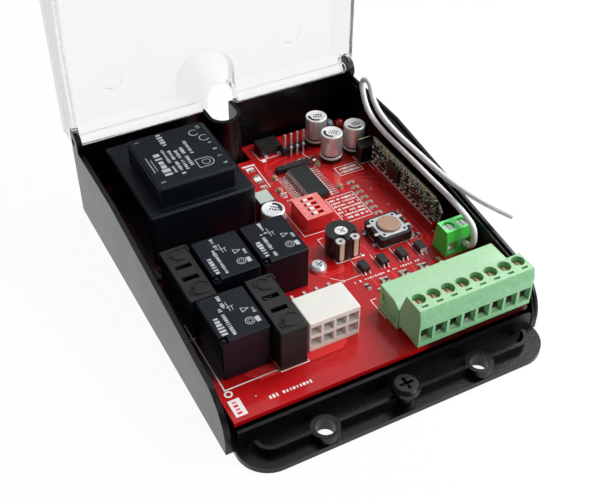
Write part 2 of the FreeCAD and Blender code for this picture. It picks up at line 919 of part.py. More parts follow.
socket = block(socket_x, socket_x + socket_width, socket_y, socket_y + socket_length, 0, socket_height)
socket = soften_top(round_upright(socket, 0.5), 0.3)
edge_column = (socket_width - socket_pitch * (socket_columns - 1)) / 2
half_pin = socket_pin / 2
cavities = []
pins = []
for column in range(socket_columns):
    x = socket_x + edge_column + column * socket_pitch
    for z, bend in zip(socket_rows, socket_bends):
        half = socket_cavity / 2
        depth = socket_y + socket_cavity_depth
        cavities.append(block(x - half, x + half, socket_y - 1, depth, z - half, z + half))
        low, high = z - half_pin, z + half_pin
        bar = block(x - half_pin, x + half_pin, socket_pin_front, bend + half_pin, low, high)
        pins.append(joined([bar, square_leg(x, bend, z + half_pin, socket_pin)]))
save("power_socket", cleared(socket, cavities + pins))
save("power_pins", pins)


# Pluggable terminal: header, contact pins, plug, cages and screws

header_side = [
    (header_front, 0),
    (header_back, 0),
    (header_back, header_height),
    (header_lip_y, header_height),
    (header_front, header_lip_height),
]
header_end = header_x + header_width
header = prism_x(header_side, header_x, header_end)
header_space = block(
    header_x + header_wall, header_end - header_wall,
    header_front - 1, header_back - header_back_wall,
    header_floor, header_lip_height - 0.6,
)
first_pole = plug_x + (plug_width - pole_pitch * (poles - 1)) / 2
pole_x = [first_pole + step * pole_pitch for step in range(poles)]
half_pin = contact_pin / 2
terminal_pins = []
for x in pole_x:
    bar = block(
        x - half_pin, x + half_pin, contact_front, contact_foot_y + half_pin,
        contact_height - half_pin, contact_height + half_pin,
    )
    leg = square_leg(x, contact_foot_y, contact_height + half_pin, contact_pin)
    terminal_pins.append(joined([bar, leg]))
side_pockets = []
for x0, x1 in ((header_x - 1, header_x + 0.7), (header_end - 0.7, header_end + 1)):
    side_pockets.append(block(x0, x1, 15.6, 18.8, 4.2, 7.6))
    side_pockets.append(block(x0, x1, 11.0, 20.0, 1.6, 2.4))
save("terminal_header", cleared(header, [header_space] + terminal_pins + side_pockets))
save("terminal_pins", terminal_pins)

plug_side = [
    (plug_front, plug_bottom),
    (plug_back, plug_bottom),
    (plug_back, plug_back_height),
    (plug_top_back, plug_top),
    (plug_top_front, plug_top),
    (plug_front, plug_top - 3.0),
]
plug_end = plug_x + plug_width
plug = prism_x(plug_side, plug_x, plug_end)
tongue = block(
    header_x + header_wall + tongue_fit, header_end - header_wall - tongue_fit,
    plug_back - 1, tongue_end,
    header_floor + tongue_fit + 0.8, header_lip_height - 0.6 - tongue_fit,
)
plug_cuts = []
cages = []
plug_screws = []
window_x, window_z, window_low = plug_window
for x in pole_x:
    half = plug_socket / 2
    plug_cuts.append(block(
        x - half, x + half, plug_socket_front, tongue_end + 1,
        contact_height - half, contact_height + half,
    ))
    half = window_x / 2
    window_back = plug_front + plug_window_depth
    plug_cuts.append(block(
        x - half, x + half, plug_front - 1, window_back, window_low, window_low + window_z,
    ))
    plug_cuts.append(post(x, plug_screw_y, plug_hole_floor, plug_top + 1, plug_hole_radius))
    plug_cuts.append(post(x, plug_screw_y, window_low + 1, plug_hole_floor + 1, plug_screw_radius + 0.1))
    slot_x, slot_y, slot_z = plug_slot
    plug_cuts.append(block(
        x - slot_x / 2, x + slot_x / 2,
        plug_slot_y - slot_y / 2, plug_slot_y + slot_y / 2,
        plug_top - slot_z, plug_top + 1,
    ))
    cage_front = plug_front + cage_front_inset
    window_high = window_low + window_z
    cage = block(x - half, x + half, cage_front, window_back, window_low, window_high)
    inner = half - cage_wall
    cage_space = block(
        x - inner, x + inner, plug_front, window_back + 1,
        window_low + cage_wall, window_low + window_z - cage_wall - 0.6,
    )
    thread = post(x, plug_screw_y, window_low + 2, plug_top, plug_screw_radius + screw_play)
    cages.append(cleared(cage, [cage_space, thread]))
    plug_screws.append(slotted_screw(
        x, plug_screw_y, plug_screw_head_base, plug_screw_head_height,
        plug_screw_head, plug_screw_radius, plug_screw_length,
    ))
save("terminal_plug", cleared(joined([plug, tongue]), plug_cuts))
save("plug_cages", cages)
for number, screw in enumerate(plug_screws, 1):
    save("plug_screw_%d" % number, screw)


# Aerial terminal with two screws

aerial_side = [
    (aerial_front, 0),
    (aerial_back, 0),
    (aerial_top_back, aerial_height),
    (aerial_top_front, aerial_height),
    (aerial_front, aerial_height - 3.2),
]
aerial = prism_x(aerial_side, aerial_x, aerial_x + aerial_width)
aerial_cuts = []
aerial_cages = []
window_x, window_z, window_low = aerial_window
for number, x in enumerate(aerial_screw_x, 1):
    half = window_x / 2
    window_back = aerial_front + aerial_window_depth
    aerial_cuts.append(block(
        x - half, x + half, aerial_front - 1, window_back, window_low, window_low + window_z,
    ))
    aerial_cuts.append(post(x, aerial_screw_y, aerial_hole_floor, 20, aerial_hole_radius))
    aerial_cuts.append(post(x, aerial_screw_y, window_low + 1, 20, aerial_screw_radius + 0.1))
    cage = block(x - half, x + half, aerial_front + 1.0, window_back, window_low, window_low + window_z)
    inner = half - cage_wall
    cage_space = block(
        x - inner, x + inner, aerial_front, wire_points[0][1],
        window_low + cage_wall, window_low + window_z - cage_wall - 0.6,
    )
    thread = post(x, aerial_screw_y, window_low + 2, far, aerial_screw_radius + screw_play)
    leg = square_leg(x, aerial_screw_y + 1, window_low + 0.2, aerial_leg * 2)
    leg_front, leg_back = aerial_screw_y + 0.5, aerial_screw_y + 1.5
    leg_space = block(x - aerial_leg, x + aerial_leg, leg_front, leg_back, -1, window_low + 0.2)
    aerial_cuts.append(leg_space)
    cage = cleared(cage, [cage_space, thread])
    aerial_cages.append(joined([cage, leg]))
    save("aerial_screw_%d" % number, slotted_screw(
        x, aerial_screw_y, aerial_screw_head_base, aerial_screw_head_height,
        aerial_screw_head, aerial_screw_radius, aerial_screw_length,
    ))
save("aerial_terminal", cleared(aerial, aerial_cuts))
save("aerial_cages", aerial_cages)


# Radio module standing on its edge, its parts and pins

radio_side = [
    (radio_y[0], radio_bottom),
    (radio_y[1], radio_bottom),
    (radio_y[1], radio_top),
    (radio_y[0] + radio_corner, radio_top),
    (radio_y[0], radio_top - radio_corner),
]
save("radio_board", prism_x(radio_side, radio_x, radio_x + radio_thickness))
radio_parts = []
pin_spacing = radio_pin_pitch
pin_count = int((radio_y[1] - radio_y[0] - 4) / pin_spacing)
strip_y = (radio_y[0] + 1, radio_y[0] + 1 + pin_count * pin_spacing)
strip = [block(radio_x - 2.2, radio_x, strip_y[0], strip_y[1], 0, 2.3)]
for step in range(pin_count):
    y = strip_y[0] + (step + 0.5) * pin_spacing
    strip.append(square_leg(radio_x - 1.1, y, 1.0, radio_pin * 2))
radio_parts.append(joined(strip))
flat_parts = [
    (46.5, 4.0, 5.0, 4.5, 1.4),
    (53.5, 4.2, 6.0, 4.6, 1.6),
    (62.0, 3.6, 3.0, 3.0, 1.2),
    (67.5, 3.4, 7.2, 5.4, 1.7),
    (77.0, 4.4, 4.0, 3.6, 2.2),
    (83.0, 3.4, 2.6, 5.2, 1.2),
]
for y, z, length, height, depth in flat_parts:
    radio_parts.append(block(radio_x - depth, radio_x, y, y + length, z, z + height))
cx, cy = crystal_place
crystal = block(cx, cx + crystal_size[0], cy, cy + crystal_size[1], 0, crystal_size[2])
radio_parts.append(round_upright(crystal, 0.8))
save("radio_parts", radio_parts)


# Controller chip with gull-wing leads

cx, cy = chip_place
chip_low = 0.2
chip = [block(cx, cx + chip_size[0], cy, cy + chip_size[1], chip_low, chip_size[2])]
first = cy + (chip_size[1] - chip_lead_pitch * (chip_lead_count - 1)) / 2
mid = cx + chip_size[0] / 2
for step in range(chip_lead_count):
    y = first + step * chip_lead_pitch
    y0, y1 = y - chip_lead_width / 2, y + chip_lead_width / 2
    for sign in (-1, 1):
        outline = []
        edge = sign * chip_size[0] / 2
        end = sign * chip_lead_span / 2
        for dx, z in (
            (edge - sign * 0.3, 1.3), (edge + sign * 0.6, 1.3), (end - sign * 0.9, 0.0),
            (end, 0.0), (end, 0.22), (end - sign * 0.75, 0.22),
            (edge + sign * 0.75, 1.52), (edge - sign * 0.3, 1.52),
        ):
            outline.append((mid + dx, z))
        chip.append(prism_y(outline, y0, y1))
save("controller_chip", joined(chip))


# Slide switches

dx, dy = dip_place
width, length, height = dip_size
dip = block(dx, dx + width, dy, dy + length, 0, height)
dip_cuts = []
sliders = []
slider_x = dx + width / 2 - slider_travel / 2
first = dy + (length - dip_pitch * (dip_ways - 1)) / 2
dip_legs = []
for way in range(dip_ways):
    y = first + way * dip_pitch
    half_x, half_y = dip_window[0] / 2, dip_window[1] / 2
    mid = dx + width / 2
    low = height - dip_window_depth
    dip_cuts.append(block(mid - half_x, mid + half_x, y - half_y, y + half_y, low, height + 1))
    sx, sy, sz = slider_size
    sliders.append(block(slider_x - sx / 2, slider_x + sx / 2, y - sy / 2, y + sy / 2, low, low + sz))
    for side_x in (dx + 1.2, dx + width - 1.2):
        dip_legs.append(round_leg(side_x, y, 0.5, 0.3))
save("dip_switch", joined([cleared(dip, dip_cuts)] + dip_legs))
for number, slider in enumerate(sliders, 1):
    save("dip_slider_%d" % number, slider)


# Push button: body, cover plate with legs, dome spring and cap

bx, by = button_place
width, length, height = button_body_size
body = block(bx - width / 2, bx + width / 2, by - length / 2, by + length / 2, 0.2, height)
body = round_upright(body, 0.8)
plug_feet = [round_leg(bx + sx * 5.0, by, 0.4, 0.6) for sx in (-1, 1)]
bore = post(bx, by, 1.2, 10, button_flange_radius + 0.2)
save("button_body", joined([cleared(body, [bore])] + plug_feet))
half = button_plate_size / 2
plate = block(bx - half, bx + half, by - half, by + half, height, height + button_plate)
plate = round_upright(plate, 1.0)
plate = cleared(plate, [post(bx, by, 0, 10, button_hole_radius)])
plate_legs = []
for sx in (-1, 1):
    for sy in (-1, 1):
        lx = bx + sx * (width / 2 + 0.25 + 0.3)
        ly = by + sy * 2.5
        inner = min(lx, bx + sx * (half - 0.5))
        outer = max(lx, bx + sx * (half - 0.5))
        plate_legs.append(block(inner - 0.25, outer + 0.25, ly - 0.5, ly + 0.5, height, height + 0.3))
        plate_legs.append(square_leg(lx, ly, height + 0.3, 0.5))
save("button_plate", joined([plate] + plate_legs))
flange_top = height - 0.1
flange_low = flange_top - button_flange_height
cap = joined([
    post(bx, by, flange_low, flange_top, button_flange_radius),
    post(bx, by, flange_low, button_cap_top, button_cap_radius),
])
save("button_cap", soften_top(cap, 0.3))
dome_low = 1.2
dome_high = flange_low
dome_rise = dome_high - dome_low
dome = Part.makeCone(button_dome_radius, 1.6, dome_rise, vector(bx, by, dome_low))
dome_start = vector(bx, by, dome_low - 0.01)
hollow_dome = Part.makeCone(button_dome_radius - 0.3, 1.3, dome_rise - 0.2, dome_start)
save("button_dome", dome.cut(hollow_dome))


# Trimmer: body, slotted rotor and legs

tx, ty = trimmer_place
body = joined([
    post(tx, ty, 0, trimmer_height, trimmer_radius),
    block(tx - 4.2, tx + 4.6, ty - 4.6, ty, 0, trimmer_height - 1.2),
])
core_bore = post(tx, ty, trimmer_height - trimmer_core_depth, 20, trimmer_core_radius + trimmer_play)
leg_cuts = []
legs = []
for dx in trimmer_leg_x:
    lx, ly = tx + dx, ty + trimmer_leg_y
    wide, thin = trimmer_leg
    strip = block(lx - wide / 2, lx + wide / 2, ly, ly + thin, 0.6, trimmer_leg_top)
    washer = post(lx, ly + 1.4, trimmer_leg_top - 0.5, trimmer_leg_top, trimmer_washer_radius)
    washer = washer.cut(post(lx, ly + 1.4, 0, 20, 0.6))
    tail = round_leg(lx, ly + 0.25, 1.0, 0.35)
    legs.append(joined([strip, washer, tail]))
    leg_cuts.append(block(lx - wide / 2, lx + wide / 2, ly, ly + thin, 0, 20))
    leg_cuts.append(post(lx, ly + 1.4, trimmer_leg_top - 0.5, 20, trimmer_washer_radius + 0.3))
third = round_leg(tx, ty + 2.5, 0.4, 0.35)
save("trimmer_body", joined([cleared(body, [core_bore] + leg_cuts), third]))
save("trimmer_legs", legs)
rotor = post(tx, ty, trimmer_height - trimmer_core_depth, trimmer_height - 0.1, trimmer_core_radius)
rotor_slots = []
for angle in (35, 125):
    arm = block(tx - 1.5, tx + 1.5, ty - 0.3, ty + 0.3, trimmer_height - 1.1, 20)
    arm.rotate(vector(tx, ty, 0), vector(0, 0, 1), angle)
    rotor_slots.append(arm)
save("trimmer_rotor", cleared(rotor, rotor_slots))


# Capacitors

cans = []
for x, y in capacitor_places:
    can = soften_top(post(x, y, 0, capacitor_height, capacitor_radius), 0.5)
    ring = post(x, y, capacitor_groove_height, capacitor_groove_height + 0.6, capacitor_radius + 1)
    ring = ring.cut(post(x, y, 0, 10, capacitor_radius - capacitor_groove))
    legs = [round_leg(x + dx, y, 0.5, capacitor_lead) for dx in (-1.75, 1.75)]
    cans.append(joined([can.cut(ring)] + legs))
save("electrolytic_capacitors", cans)
fx, fy = film_place
film = block(fx, fx + film_size[0], fy, fy + film_size[1], 0, film_size[2])
film = soften_top(round_upright(film, 0.5), 0.4)
film_legs = [round_leg(fx + film_size[0] / 2, fy + dy, 0.5, 0.3) for dy in (1.0, 6.0)]
cx, cy = disc_place
disc = rod_x(cy, disc_height, cx - disc_thickness / 2, cx + disc_thickness / 2, disc_radius)
disc_legs = [round_leg(cx, cy + dy, disc_height - 2.0, 0.3) for dy in (-1.27, 1.27)]
save("film_capacitors", [joined([film] + film_legs), joined([disc] + disc_legs)])


# Rectifier, pin row, opto couplers, lamp and small parts

rx, ry = rectifier_place
width, length, height = rectifier_size
rectifier = [block(rx, rx + width, ry, ry + length, 0.1, height)]
for dx in (1.6, width - 1.6):
    for y0, y1 in ((ry - 1.4, ry + 0.2), (ry + length - 0.2, ry + length + 1.4)):
        rectifier.append(block(rx + dx - 0.6, rx + dx + 0.6, y0, y1, 0, 0.4))
save("bridge_rectifier", joined(rectifier))

px, py = pin_row_place
half = pin_row_block[0] / 2
pin_row = [block(
    px - 1.27, px + (pin_row_count - 0.5) * dip_pitch, py - half, py + half, 0, pin_row_block[1]
)]
for step in range(pin_row_count):
    pin_row.append(square_leg(px + step * dip_pitch, py, pin_row_top, pin_row_pin))
save("pin_header", joined(pin_row))

optos = []
width, length, height = opto_size
lead_width, lead_span, lead_height = opto_lead
for x, y in opto_places:
    opto = [block(x - width / 2, x + width / 2, y - length / 2, y + length / 2, 0.1, height)]
    for dx in (-0.8, 0.8):
        for sign in (-1, 1):
            ends = sorted((y + sign * (length / 2 - 0.2), y + sign * (length / 2 + 0.4)))
            opto.append(block(x + dx - 0.2, x + dx + 0.2, ends[0], ends[1], 0, lead_height))
            ends = sorted((y + sign * (length / 2 + 0.2), y + sign * lead_span / 2))
            opto.append(block(x + dx - 0.2, x + dx + 0.2, ends[0], ends[1], 0, 0.2))
    optos.append(joined(opto))
save("opto_couplers", optos)

lx, ly = led_place
dome = Part.makeSphere(led_radius, vector(lx, ly, led_height - led_radius))
lamp = joined([
    post(lx, ly, 0, 1.0, led_flange_radius),
    post(lx, ly, 0, led_height - led_radius, led_radius),
    dome,
    round_leg(lx - 1.27, ly, 0.5, 0.25),
    round_leg(lx + 1.27, ly, 0.5, 0.25),
])
save("signal_lamp", lamp)

small_parts = []
width, length, height = small_part
for x, y, step_x, step_y, count in small_part_rows:
    for step in range(count):
        px, py = x + step * step_x, y + step * step_y
        half_x, half_y = (width / 2, length / 2) if step_x > 0 else (length / 2, width / 2)
        small_parts.append(block(px - half_x, px + half_x, py - half_y, py + half_y, 0, height))
save("chip_parts", small_parts)


# Board with the notch and one hole for each leg

board = block(0, board_width, 0, board_length, -board_thickness, 0)
board_mid = board_width / 2
board_cuts = [block(
    board_mid - board_notch_half, board_mid + board_notch_half,
    board_length - board_notch_depth, board_length + 1, -5, 5,
)]
for x, y, radius in board_holes:
    board_cuts.append(post(x, y, -5, 5, radius))
save("circuit_board", cleared(board, board_cuts))


# Aerial wire: straight runs joined by tangent arcs

points = [vector(*p) for p in wire_points]
edges = []
start = points[0]
print("wire bends, mm")
for before, corner, after in zip(points, points[1:], points[2:]):
    one = corner - before
    two = after - corner
    turn = one.getAngle(two)
    shorter = min(one.Length, two.Length)
    cut_back = wire_bend * shorter
    radius = cut_back / math.tan(turn / 2)
    first = corner - one.normalize() * cut_back
    last = corner + two.normalize() * cut_back
    middle = (first + last) * 0.5
    inward = (middle - corner).normalize()
    reach = math.hypot(cut_back, radius) - radius
    edges.append(Part.LineSegment(start, first).toShape())
    edges.append(Part.Arc(first, corner + inward * reach, last).toShape())
    start = last
    print("turn %.0f radius %.1f" % (math.degrees(turn), radius))
edges.append(Part.LineSegment(start, points[-1]).toShape())
path = Part.Wire(edges)
direction = (points[1] - points[0]).normalize()
section = Part.Wire(Part.Circle(points[0], direction, wire_diameter / 2).toShape())
wire = path.makePipeShell([section], True, False)
area = math.pi * wire_diameter ** 2 / 4
print("wire length %.1f" % path.Length)
print("wire volume %.1f of %.1f" % (wire.Volume, area * path.Length))
save("aerial_wire", wire)
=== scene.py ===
import json
import math
import bmesh
import bpy
from mathutils import Matrix, Vector


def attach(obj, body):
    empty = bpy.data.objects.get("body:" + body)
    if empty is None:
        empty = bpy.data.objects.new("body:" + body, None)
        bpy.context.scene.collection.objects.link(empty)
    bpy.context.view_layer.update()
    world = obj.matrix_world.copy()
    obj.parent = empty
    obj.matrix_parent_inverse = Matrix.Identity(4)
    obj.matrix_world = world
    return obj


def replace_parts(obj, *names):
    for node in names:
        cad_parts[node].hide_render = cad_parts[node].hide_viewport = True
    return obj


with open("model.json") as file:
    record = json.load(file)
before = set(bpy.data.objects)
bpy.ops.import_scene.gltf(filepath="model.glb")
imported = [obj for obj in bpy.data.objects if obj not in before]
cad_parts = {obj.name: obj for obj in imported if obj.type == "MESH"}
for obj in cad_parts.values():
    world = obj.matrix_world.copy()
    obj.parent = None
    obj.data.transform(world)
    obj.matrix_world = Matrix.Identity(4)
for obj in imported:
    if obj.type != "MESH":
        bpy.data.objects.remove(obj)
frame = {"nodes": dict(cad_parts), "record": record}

for spare in ("Cube", "Light", "Camera"):
    if spare in bpy.data.objects:
        bpy.data.objects.remove(bpy.data.objects[spare])
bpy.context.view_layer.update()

mm = 0.001
scene = bpy.context.scene
bodies = frame["record"]["behaviour"]["bodies"]
bodyOf = {node: body for body, nodes in bodies.items() for node in nodes}
boardCorner = Vector((-50.3, -54.0, 10.0))
boardTop = boardCorner.z
sunk, inkLift = 0.01, 0.012
upright = 0.9


def newObject(name, data):
    piece = bpy.data.objects.new(name, data)
    scene.collection.objects.link(piece)
    return piece


# Camera: the photograph's own viewing angle
cameraLook = dict(target=(0.11, 2.1, 10), distance=328.45, azimuth=-28.1656, elevation=41.321, roll=0.3876,
    lens=59.2824, sensor=36, shift=(0.00148, -0.00199), clip=(0.01, 20))


def placeCamera(look):
    turn, rise, roll = (math.radians(look[key]) for key in ("azimuth", "elevation", "roll"))
    back = Vector((math.sin(turn) * math.cos(rise), -math.cos(turn) * math.cos(rise), math.sin(rise)))
    right = Vector((math.cos(turn), math.sin(turn), 0.0))
    up = back.cross(right)
    across = math.cos(roll) * right + math.sin(roll) * up
    upward = math.cos(roll) * up - math.sin(roll) * right
    data = bpy.data.cameras.new("mainCamera")
    data.sensor_width = look["sensor"]
    data.lens = look["lens"]
    data.shift_x, data.shift_y = look["shift"]
    data.clip_start, data.clip_end = look["clip"]
    camera = newObject("mainCamera", data)
    place = Matrix((across, upward, back)).transposed().to_4x4()
    place.translation = (Vector(look["target"]) + look["distance"] * back) * mm
    camera.matrix_world = place
    scene.camera = camera


placeCamera(cameraLook)
print("camera placed")


# Node helpers, for shaders and geometry alike
def setInput(tree, socket, value):
    if isinstance(value, bpy.types.NodeSocket):
        tree.links.new(value, socket)
    else:
        socket.default_value = value


def addNode(tree, kind, values=None, **settings):
    node = tree.nodes.new(kind)
    for key, value in settings.items():
        setattr(node, key, value)
    for key, value in (values or {}).items():
        setInput(tree, node.inputs[key], value)
    return node


def nodeOut(tree, kind, values=None, **settings):
    return addNode(tree, kind, values, **settings).outputs[0]


def calc(tree, first, second, operation="MULTIPLY", third=0.0, clamp=False):
    return nodeOut(tree, "ShaderNodeMath", {0: first, 1: second, 2: third}, operation=operation,
        use_clamp=clamp)


def ramp(tree, value, low, high, start=0.0, end=1.0):
    return nodeOut(tree, "ShaderNodeMapRange", {"Value": value, "From Min": low, "From Max": high,
        "To Min": start, "To Max": end})


def blendColour(tree, amount, first, second):
    return addNode(tree, "ShaderNodeMix", {0: amount, 6: first, 7: second}, data_type="RGBA").outputs[2]


def noise(tree, vector, scale, detail=3.0, roughness=0.5):
    return nodeOut(tree, "ShaderNodeTexNoise", {"Vector": vector, "Scale": scale, "Detail": detail,
        "Roughness": roughness})


def split(tree, vector):
    return addNode(tree, "ShaderNodeSeparateXYZ", {0: vector}).outputs


def solid(colour):
    return (*colour, 1.0)


def newGroup(name, inputs, outputs, kind="ShaderNodeTree"):
    tree = bpy.data.node_groups.new(name, kind)
    for label, socketKind, value in inputs:
        socket = tree.interface.new_socket(label, in_out="INPUT", socket_type="NodeSocket" + socketKind)
        if value is not None:
            socket.default_value = value
    for label, socketKind in outputs:
        tree.interface.new_socket(label, in_out="OUTPUT", socket_type="NodeSocket" + socketKind)
    return tree, tree.nodes.new("NodeGroupInput").outputs, tree.nodes.new("NodeGroupOutput").inputs


# Shared shader groups: they give colours, masks, values and normals only
def shaderGroup(name, output, kind, **inputs):
    sockets = [("Vector", "Vector", (0, 0, 0))]
    for key, value in inputs.items():
        sockets.append((key.capitalize(), "Color" if isinstance(value, tuple) else "Float", value))
    tree, given, result = newGroup(name, sockets, [(output, kind)])
    return tree, given, result[0]


# Mask of sharp convex edges in patches, for edge wear and a painted edge sheen
def makeEdgeGroup():
    tree, given, mask = shaderGroup("edgeWearAndSheen", "Mask", "Float", breakup=700.0)
    sharp = ramp(tree, addNode(tree, "ShaderNodeNewGeometry").outputs["Pointiness"], 0.515, 0.60)
    patch = ramp(tree, noise(tree, given["Vector"], given["Breakup"]), 0.35, 0.65, 0.4, 1.0)
    tree.links.new(calc(tree, sharp, patch, clamp=True), mask)


def makeGrainGroup():
    tree, given, normal = shaderGroup("mouldedGrain", "Normal", "Vector", scale=1500.0, height=0.1)
    fine = noise(tree, given["Vector"], given["Scale"], 4.0, 0.6)
    wide = calc(tree, noise(tree, given["Vector"], 70.0, 2.0), 0.5)
    relief = calc(tree, fine, 0.6, "MULTIPLY_ADD", wide)
    bump = nodeOut(tree, "ShaderNodeBump", {"Strength": given["Height"], "Distance": 0.0004,
        "Height": relief})
    tree.links.new(bump, normal)


def makeMottleGroup():
    tree, given, colour = shaderGroup("mottle", "Colour", "Color", colour=(1, 1, 1, 1), deep=(0, 0, 0, 1),
        scale=90.0)
    cloud = ramp(tree, noise(tree, given["Vector"], given["Scale"], 4.0), 0.3, 0.7)
    tree.links.new(blendColour(tree, cloud, given["Deep"], given["Colour"]), colour)


def makeDustGroup():
    tree, given, mask = shaderGroup("dust", "Mask", "Float", amount=0.1)
    facing = split(tree, addNode(tree, "ShaderNodeTexCoord").outputs["Normal"])["Z"]
    patch = ramp(tree, noise(tree, given["Vector"], 130.0, 5.0, 0.65), 0.45, 0.80)
    speck = ramp(tree, noise(tree, given["Vector"], 2600.0, 2.0), 0.62, 0.8)
    both = calc(tree, patch, speck, "ADD", clamp=True)
    dusty = calc(tree, ramp(tree, facing, 0.2, 1.0), both)
    tree.links.new(calc(tree, dusty, given["Amount"], clamp=True), mask)


def makeSmudgeGroup():
    tree, given, roughness = shaderGroup("smudge", "Roughness", "Float", base=0.4, spread=0.1)
    cloud = calc(tree, noise(tree, given["Vector"], 55.0, 4.0, 0.6), 0.5, "SUBTRACT")
    tree.links.new(calc(tree, cloud, given["Spread"], "MULTIPLY_ADD", given["Base"], True), roughness)


def makeScratchGroup():
    tree, given, mask = shaderGroup("scratches", "Mask", "Float", amount=0.2)
    total = 0.0
    for angle in (0.3, 1.2, 2.4):
        turned = nodeOut(tree, "ShaderNodeMapping",
            {"Vector": given["Vector"], "Scale": (60.0, 2600.0, 900.0),
            "Rotation": (angle * 0.4, 0.2, angle)})
        total = calc(tree, ramp(tree, noise(tree, turned, 1.0, 2.0), 0.66, 0.74), total, "MAXIMUM")
    tree.links.new(calc(tree, total, given["Amount"], clamp=True), mask)


for makeGroup in (makeEdgeGroup, makeGrainGroup, makeMottleGroup, makeDustGroup, makeSmudgeGroup,
        makeScratchGroup):
    makeGroup()


def useGroup(tree, name, where, **values):
    inputs = {key.capitalize(): value for key, value in values.items()}
    return nodeOut(tree, "ShaderNodeGroup", {"Vector": where, **inputs},
        node_tree=bpy.data.node_groups[name])


# Materials
plasticBase = dict(mottle=90, spread=0.12, height=0.1, edge=0.1, dust=0.02, scratch=0.1, dim=(),
    specular=0.5, coat=0, coatRoughness=0.12, scatter=0)
metalBase = dict(mottle=400, spread=0.12, grain=2400, height=0.08, scratch=0.4, metallic=1)
dustColour = (0.30, 0.29, 0.28, 1.0)


def newMaterial(name):
    material = bpy.data.materials.new(name)
    material.use_nodes = True
    tree = material.node_tree
    tree.nodes.clear()
    shader = tree.nodes.new("ShaderNodeBsdfPrincipled")
    output = tree.nodes.new("ShaderNodeOutputMaterial")
    tree.links.new(shader.outputs[0], output.inputs["Surface"])
    where = tree.nodes.new("ShaderNodeTexCoord").outputs["Object"]
    return material, tree, shader, where


def surfaceColour(tree, where, look):
    return useGroup(tree, "mottle", where, colour=solid(look["colour"]), deep=solid(look["deep"]),
        scale=look["mottle"])


def finishShader(tree, shader, where, look, colour, worn, constants):
    smudge = useGroup(tree, "smudge", where, base=look["roughness"], spread=look["spread"])
    grain = useGroup(tree, "mouldedGrain", where, scale=look["grain"], height=look["height"])
    tree.links.new(colour, shader.inputs["Base Color"])
    tree.links.new(calc(tree, smudge, worn, "ADD", clamp=True), shader.inputs["Roughness"])
    tree.links.new(grain, shader.inputs["Normal"])
    for key, value in constants.items():
        shader.inputs[key].default_value = value


# Mask of a box in the piece's own millimetres, softened at its sides, for painted shade
def dimMask(tree, where, area):
    part = split(tree, where)
    soft = 1.2 * mm
    mask = 0.92
    for axis, low, high in (("X", *area[:2]), ("Y", *area[2:])):
        mask = calc(tree, mask, ramp(tree, part[axis], low * mm - soft, low * mm + soft))
        mask = calc(tree, mask, ramp(tree, part[axis], high * mm - soft, high * mm + soft, 1.0, 0.0))
    return mask


def plastic(name, look):
    look = {**plasticBase, **look}
    material, tree, shader, where = newMaterial(name)
    colour = surfaceColour(tree, where, look)
    # Painted shade: faces turning away from straight up take the darker side colour
    if "side" in look:
        up = split(tree, addNode(tree, "ShaderNodeNewGeometry").outputs["Normal"])["Z"]
        colour = blendColour(tree, ramp(tree, up, 0.45, 0.85), solid(look["side"]), colour)
    # Convex edges turn paler: partly wear, partly a painted sheen
    pale = solid(min(1.0, 0.05 + 1.5 * part) for part in look["colour"])
    colour = blendColour(tree, calc(tree, useGroup(tree, "edgeWearAndSheen", where), look["edge"]), colour, pale)
    dust = useGroup(tree, "dust", where, amount=look["dust"])
    colour = blendColour(tree, dust, colour, dustColour)
    scratch = useGroup(tree, "scratches", where, amount=look["scratch"])
    worn = calc(tree, calc(tree, dust, scratch, "ADD"), 0.5)
    # Painted shade: each listed box is darkened towards the painted shade colour
    for area in look["dim"]:
        colour = blendColour(tree, dimMask(tree, where, area), colour, solid(look["paintedShadeColour"]))
    finishShader(tree, shader, where, look, colour, worn,
        {"Specular IOR Level": look["specular"], "Coat Weight": look["coat"],
        "Coat Roughness": look["coatRoughness"], "Subsurface Weight": look["scatter"],
        "Subsurface Scale": 2.0 * mm})
    return material


def metal(name, look):
    look = {**metalBase, **look}
    material, tree, shader, where = newMaterial(name)
    scratch = useGroup(tree, "scratches", where, amount=look["scratch"])
    worn = solid(0.55 * part for part in look["colour"])
    colour = blendColour(tree, scratch, surfaceColour(tree, where, look), worn)
    finishShader(tree, shader, where, look, colour, calc(tree, scratch, 0.3),
        {"Metallic": look["metallic"]})
    return material


def clear(name, look):
    material, tree, shader, where = newMaterial(name)
    # Painted shade: the colour darkens towards the deep colour where a clear surface turns edge-on to the
    # view
    rim = addNode(tree, "ShaderNodeLayerWeight", {"Blend": 0.5}).outputs["Facing"]
    shade = ramp(tree, rim, 0.55, 0.92, 0.0, look["rim"])
    colour = blendColour(tree, shade, solid(look["colour"]), solid(look["deep"]))
    dust = useGroup(tree, "dust", where, amount=look["dust"])
    scratch = useGroup(tree, "scratches", where, amount=look["scratch"])
    worn = calc(tree, calc(tree, dust, scratch, "ADD"), 0.4)
    finishShader(tree, shader, where, look, colour, worn,
        {"Transmission Weight": look["transmission"], "IOR": look["ior"]})
    return material


# Mesh helpers, in millimetres of the CAD frame
def finishMesh(work, name, materials, body="case"):
    bmesh.ops.recalc_face_normals(work, faces=work.faces)
    mesh = bpy.data.meshes.new(name)
    work.to_mesh(mesh)
    work.free()
    return finishPiece(mesh, name, materials, body)


def finishPiece(mesh, name, materials, body="case"):
    for material in materials:
        mesh.materials.append(material)
    mesh.shade_smooth()
    mesh.set_sharp_from_angle(angle=math.radians(35.0))
    piece = newObject(name, mesh)
    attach(piece, body)
    return piece


def addRing(work, rows, closed, material=0):
    count = len(rows)
    for index in range(count if closed else count - 1):
        here, after = rows[index], rows[(index + 1) % count]
        size = len(here)
        for corner in range(size):
            nextCorner = (corner + 1) % size
            face = work.faces.new((here[corner], here[nextCorner], after[nextCorner], after[corner]))
            face.material_index = material
    if not closed:
        for row in (rows[0], rows[-1]):
            work.faces.new(row).material_index = material


